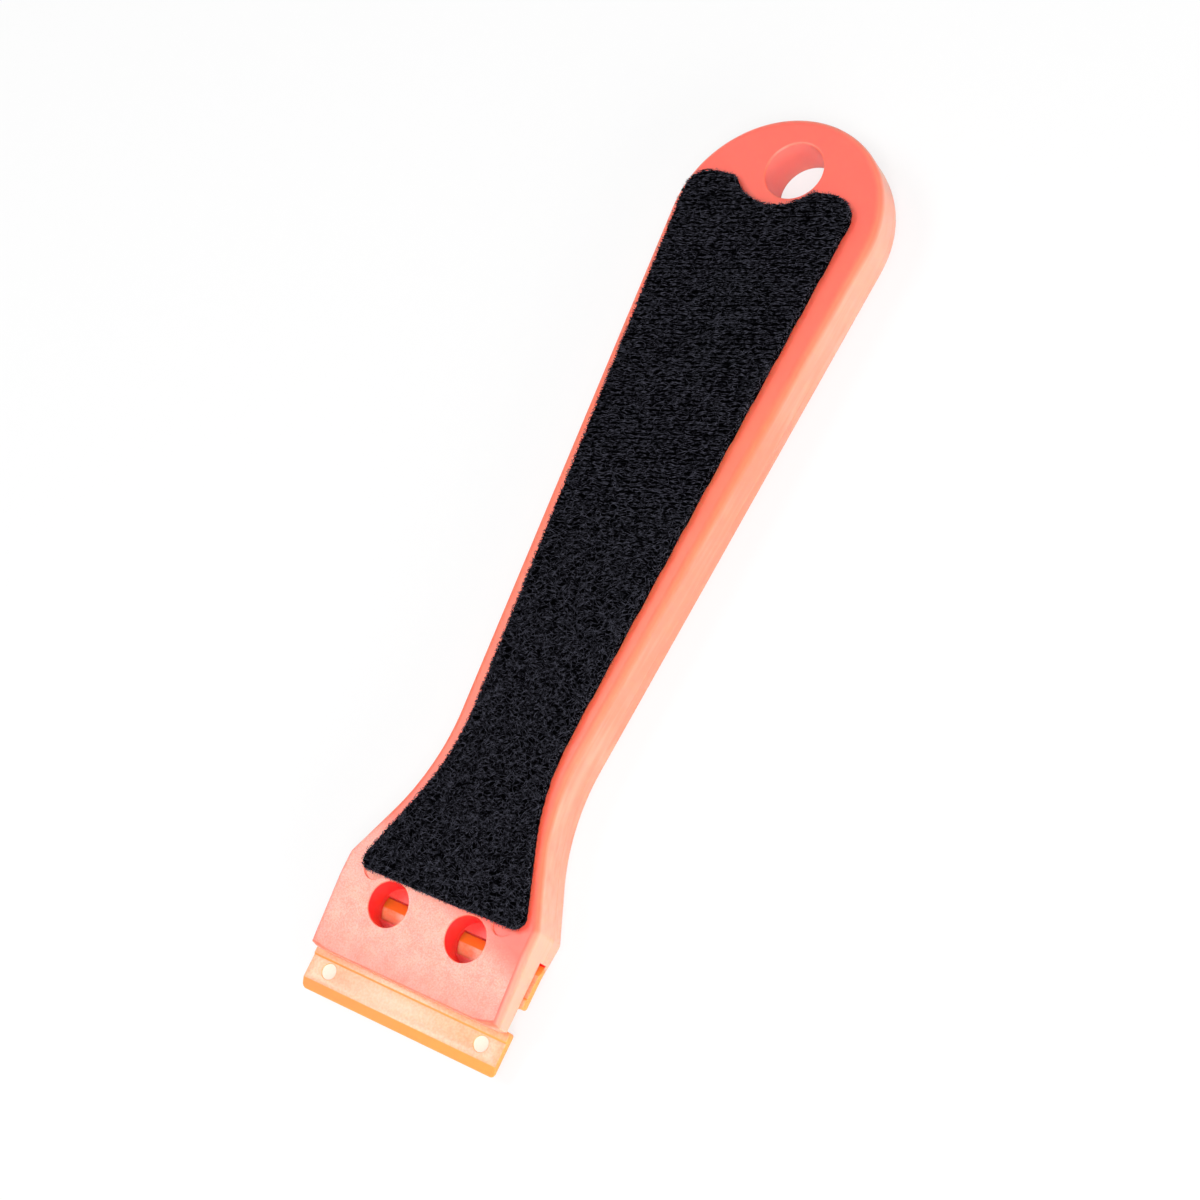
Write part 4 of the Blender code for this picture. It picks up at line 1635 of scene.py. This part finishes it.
@dataclass
class Studio:
    """The camera, the lamps, the world and the floor."""

    eye: Vector = field(default_factory=lambda: Vector((216.86, -85.16, 347.57)) * MM)
    aim: Vector = field(default_factory=lambda: Vector((-2.658, -5.543, 0.0)) * MM)
    picture_up: Vector = field(default_factory=lambda: Vector((-0.28045, 0.88182, 0.37912)))
    lens: float = 77.28
    room_light: float = 0.3
    floor_height: float = -0.02 * MM
    floor_glow: float = 0.76

    def camera(self) -> None:
        """Set the camera where the picture was taken from."""
        forward = (self.aim - self.eye).normalized()
        right = forward.cross(self.picture_up).normalized()
        up = right.cross(forward)
        data = bpy.data.cameras.new("studio_camera")
        data.lens = self.lens
        data.sensor_width = 36.0
        data.sensor_fit = "HORIZONTAL"
        data.clip_start = 0.01
        data.clip_end = 20.0
        camera = link_object("studio_camera", data)
        turn = Matrix((right, up, -forward)).transposed().to_4x4()
        camera.matrix_world = Matrix.Translation(self.eye) @ turn
        bpy.context.scene.camera = camera

    def softbox(self, name: str, way: Vector, distance: float, size: tuple[float, float], power: float,
                target: Vector) -> None:
        """Hang one softbox.

        Args:
            name: The lamp's name.
            way: The direction from the target to the lamp.
            distance: How far away it hangs.
            size: Its width and height.
            power: Its power in watts.
            target: What it faces.
        """
        data = bpy.data.lights.new(name, "AREA")
        data.shape = "RECTANGLE"
        data.size = size[0]
        data.size_y = size[1]
        data.energy = power
        lamp = link_object(name, data)
        away = way.normalized()
        lamp.location = target + away * distance
        lamp.rotation_euler = away.to_track_quat("Z", "Y").to_euler()

    def seen(self, tree: bpy.types.NodeTree) -> bpy.types.Node:
        """Tell the rays that show a background from those that light the object.

        Args:
            tree: The node tree.

        Returns:
            A node that is 1 for the lens, a reflection or what is seen through a clear piece, and else 0.
        """
        rays = add_node(tree, "LightPath").outputs
        shown = add_node(tree, "Math", {0: rays["Is Camera Ray"], 1: rays["Is Transmission Ray"]},
                         operation="MAXIMUM")
        return add_node(tree, "Math", {0: shown, 1: rays["Is Glossy Ray"]}, operation="MAXIMUM")

    def world(self) -> None:
        """Give the room its even light, white to the lens and in reflections."""
        room = bpy.data.worlds.new("pale_studio")
        bpy.context.scene.world = room
        room.use_nodes = True
        tree = room.node_tree
        tree.nodes.clear()
        level = add_node(tree, "MapRange", {"Value": self.seen(tree), "To Min": self.room_light,
                                            "To Max": 1.0})
        back = add_node(tree, "Background", {"Color": "#FFFFFF", "Strength": level})
        add_node(tree, "OutputWorld", {"Surface": back})

    def floor(self) -> None:
        """Lay the white table that the scraper lies on."""
        bm = bmesh.new()
        bmesh.ops.create_grid(bm, x_segments=1, y_segments=1, size=3.0)
        bmesh.ops.translate(bm, vec=(0, 0, self.floor_height), verts=bm.verts)
        table = link_mesh("studio_table", bm)
        material = bpy.data.materials.new("white_laminate_table")
        material.use_nodes = True
        tree = material.node_tree
        tree.nodes.clear()
        place = add_node(tree, "TexCoord").outputs["Object"]
        fleck = add_node(tree, "TexNoise", {"Vector": place, "Scale": 300.0})
        tint = add_node(tree, "Mix", {0: fleck, 6: "#E6E6E6", 7: "#EAEAEA"}, data_type="RGBA")
        matt = add_node(tree, "BsdfDiffuse", {"Color": tint})
        glow = add_node(tree, "Emission", {"Color": "#FFFFFF", "Strength": 1.0})
        share = add_node(tree, "Math", {0: self.seen(tree), 1: self.floor_glow}, operation="MULTIPLY")
        both = add_node(tree, "MixShader", {0: share, 1: matt, 2: glow})
        add_node(tree, "OutputMaterial", {"Surface": both})
        table.data.materials.append(material)

    def build(self) -> None:
        """Set up the whole studio."""
        self.camera()
        self.world()
        self.floor()
        jaw = Vector((-9, -75, 5)) * MM
        middle = Vector((0, 10, 8)) * MM
        for name, way, distance, size, power, target in (
                ("key_softbox", (-0.55, 0.05, 0.83), 0.6, (0.3, 0.2), 1.4, jaw),
                ("overhead_softbox", (-0.1, 0.78, 0.62), 0.7, (0.3, 0.3), 0.3, middle),
                ("side_strip", (0.84, -0.4, 0.25), 0.55, (0.5, 0.2), 2.2, middle),
                ("front_softbox", (0.46, -0.36, 0.81), 0.7, (0.3, 0.3), 3.3, middle)):
            self.softbox(name, Vector(way), distance, size, power, target)
        bpy.context.scene.view_settings.view_transform = "Standard"
        LOG.info("studio: camera, world, floor and four softboxes")


def main() -> None:
    """Build the studio and the scraper."""
    logging.basicConfig(level=logging.INFO, format="%(message)s", stream=sys.stdout)
    Studio().build()
    layout = Layout()
    # The windows and the slot are drawn a deep red all over: painted shade for the red light that bounces
    # inside them.
    window = MouldedPolypropylene(
        name="window_moulded_polypropylene", color="#FF3030", warm="#FF3030", rounded="#FF3430",
        far_rounding_painted_light="#FF3430", wall_painted_light="#FF2A2D", far_wall_painted_light="#FF2A2D", pit_haze_dark="#FF3C34", pit_haze_pale="#FF5448",
        glow=3.0 * MM)
    # The hanging hole is drawn a lighter pink than the face: painted light for the light that reaches its
    # walls.
    hanging = MouldedPolypropylene(
        name="hole_polypropylene_painted_light", color="#FE7062", warm="#FE7062", rounded="#FE7058",
        far_rounding_painted_light="#FE7058", wall_painted_light="#FF8072", far_wall_painted_light="#FF8072", glow=2.0 * MM)
    Handle(layout).build([skin.material() for skin in (MouldedPolypropylene(), window, hanging)])
    Blade(layout).build(MouldedPolycarbonate().material(), PinMarkedPolycarbonate().material())
    # The ground cloth lies low, in the painted shade; the loose fibres and, more so, the cut fibres along the
    # edge are drawn greyer, a painted highlight.
    cloth = BlackPolyester(name="black_polyester_ground", dark="#050506", light="#0B0B0D")
    loose = BlackPolyester(name="loose_black_fibre", dark="#16161B", light="#464650", painted_shade="#101014",
                           rise=(9.0 * MM, 10.0 * MM))
    cut = BlackPolyester(name="cut_black_fibre", dark="#24242A", light="#62626E", painted_shade="#1C1C22",
                         clump=0.3 * MM, rise=(8.6 * MM, 9.4 * MM))
    KnitPad(layout).build(BlackPolyester().material(), cloth.material(), loose.material(), cut.material(),
                          AcrylicAdhesive().material())


if __name__ == "__main__":
    main()
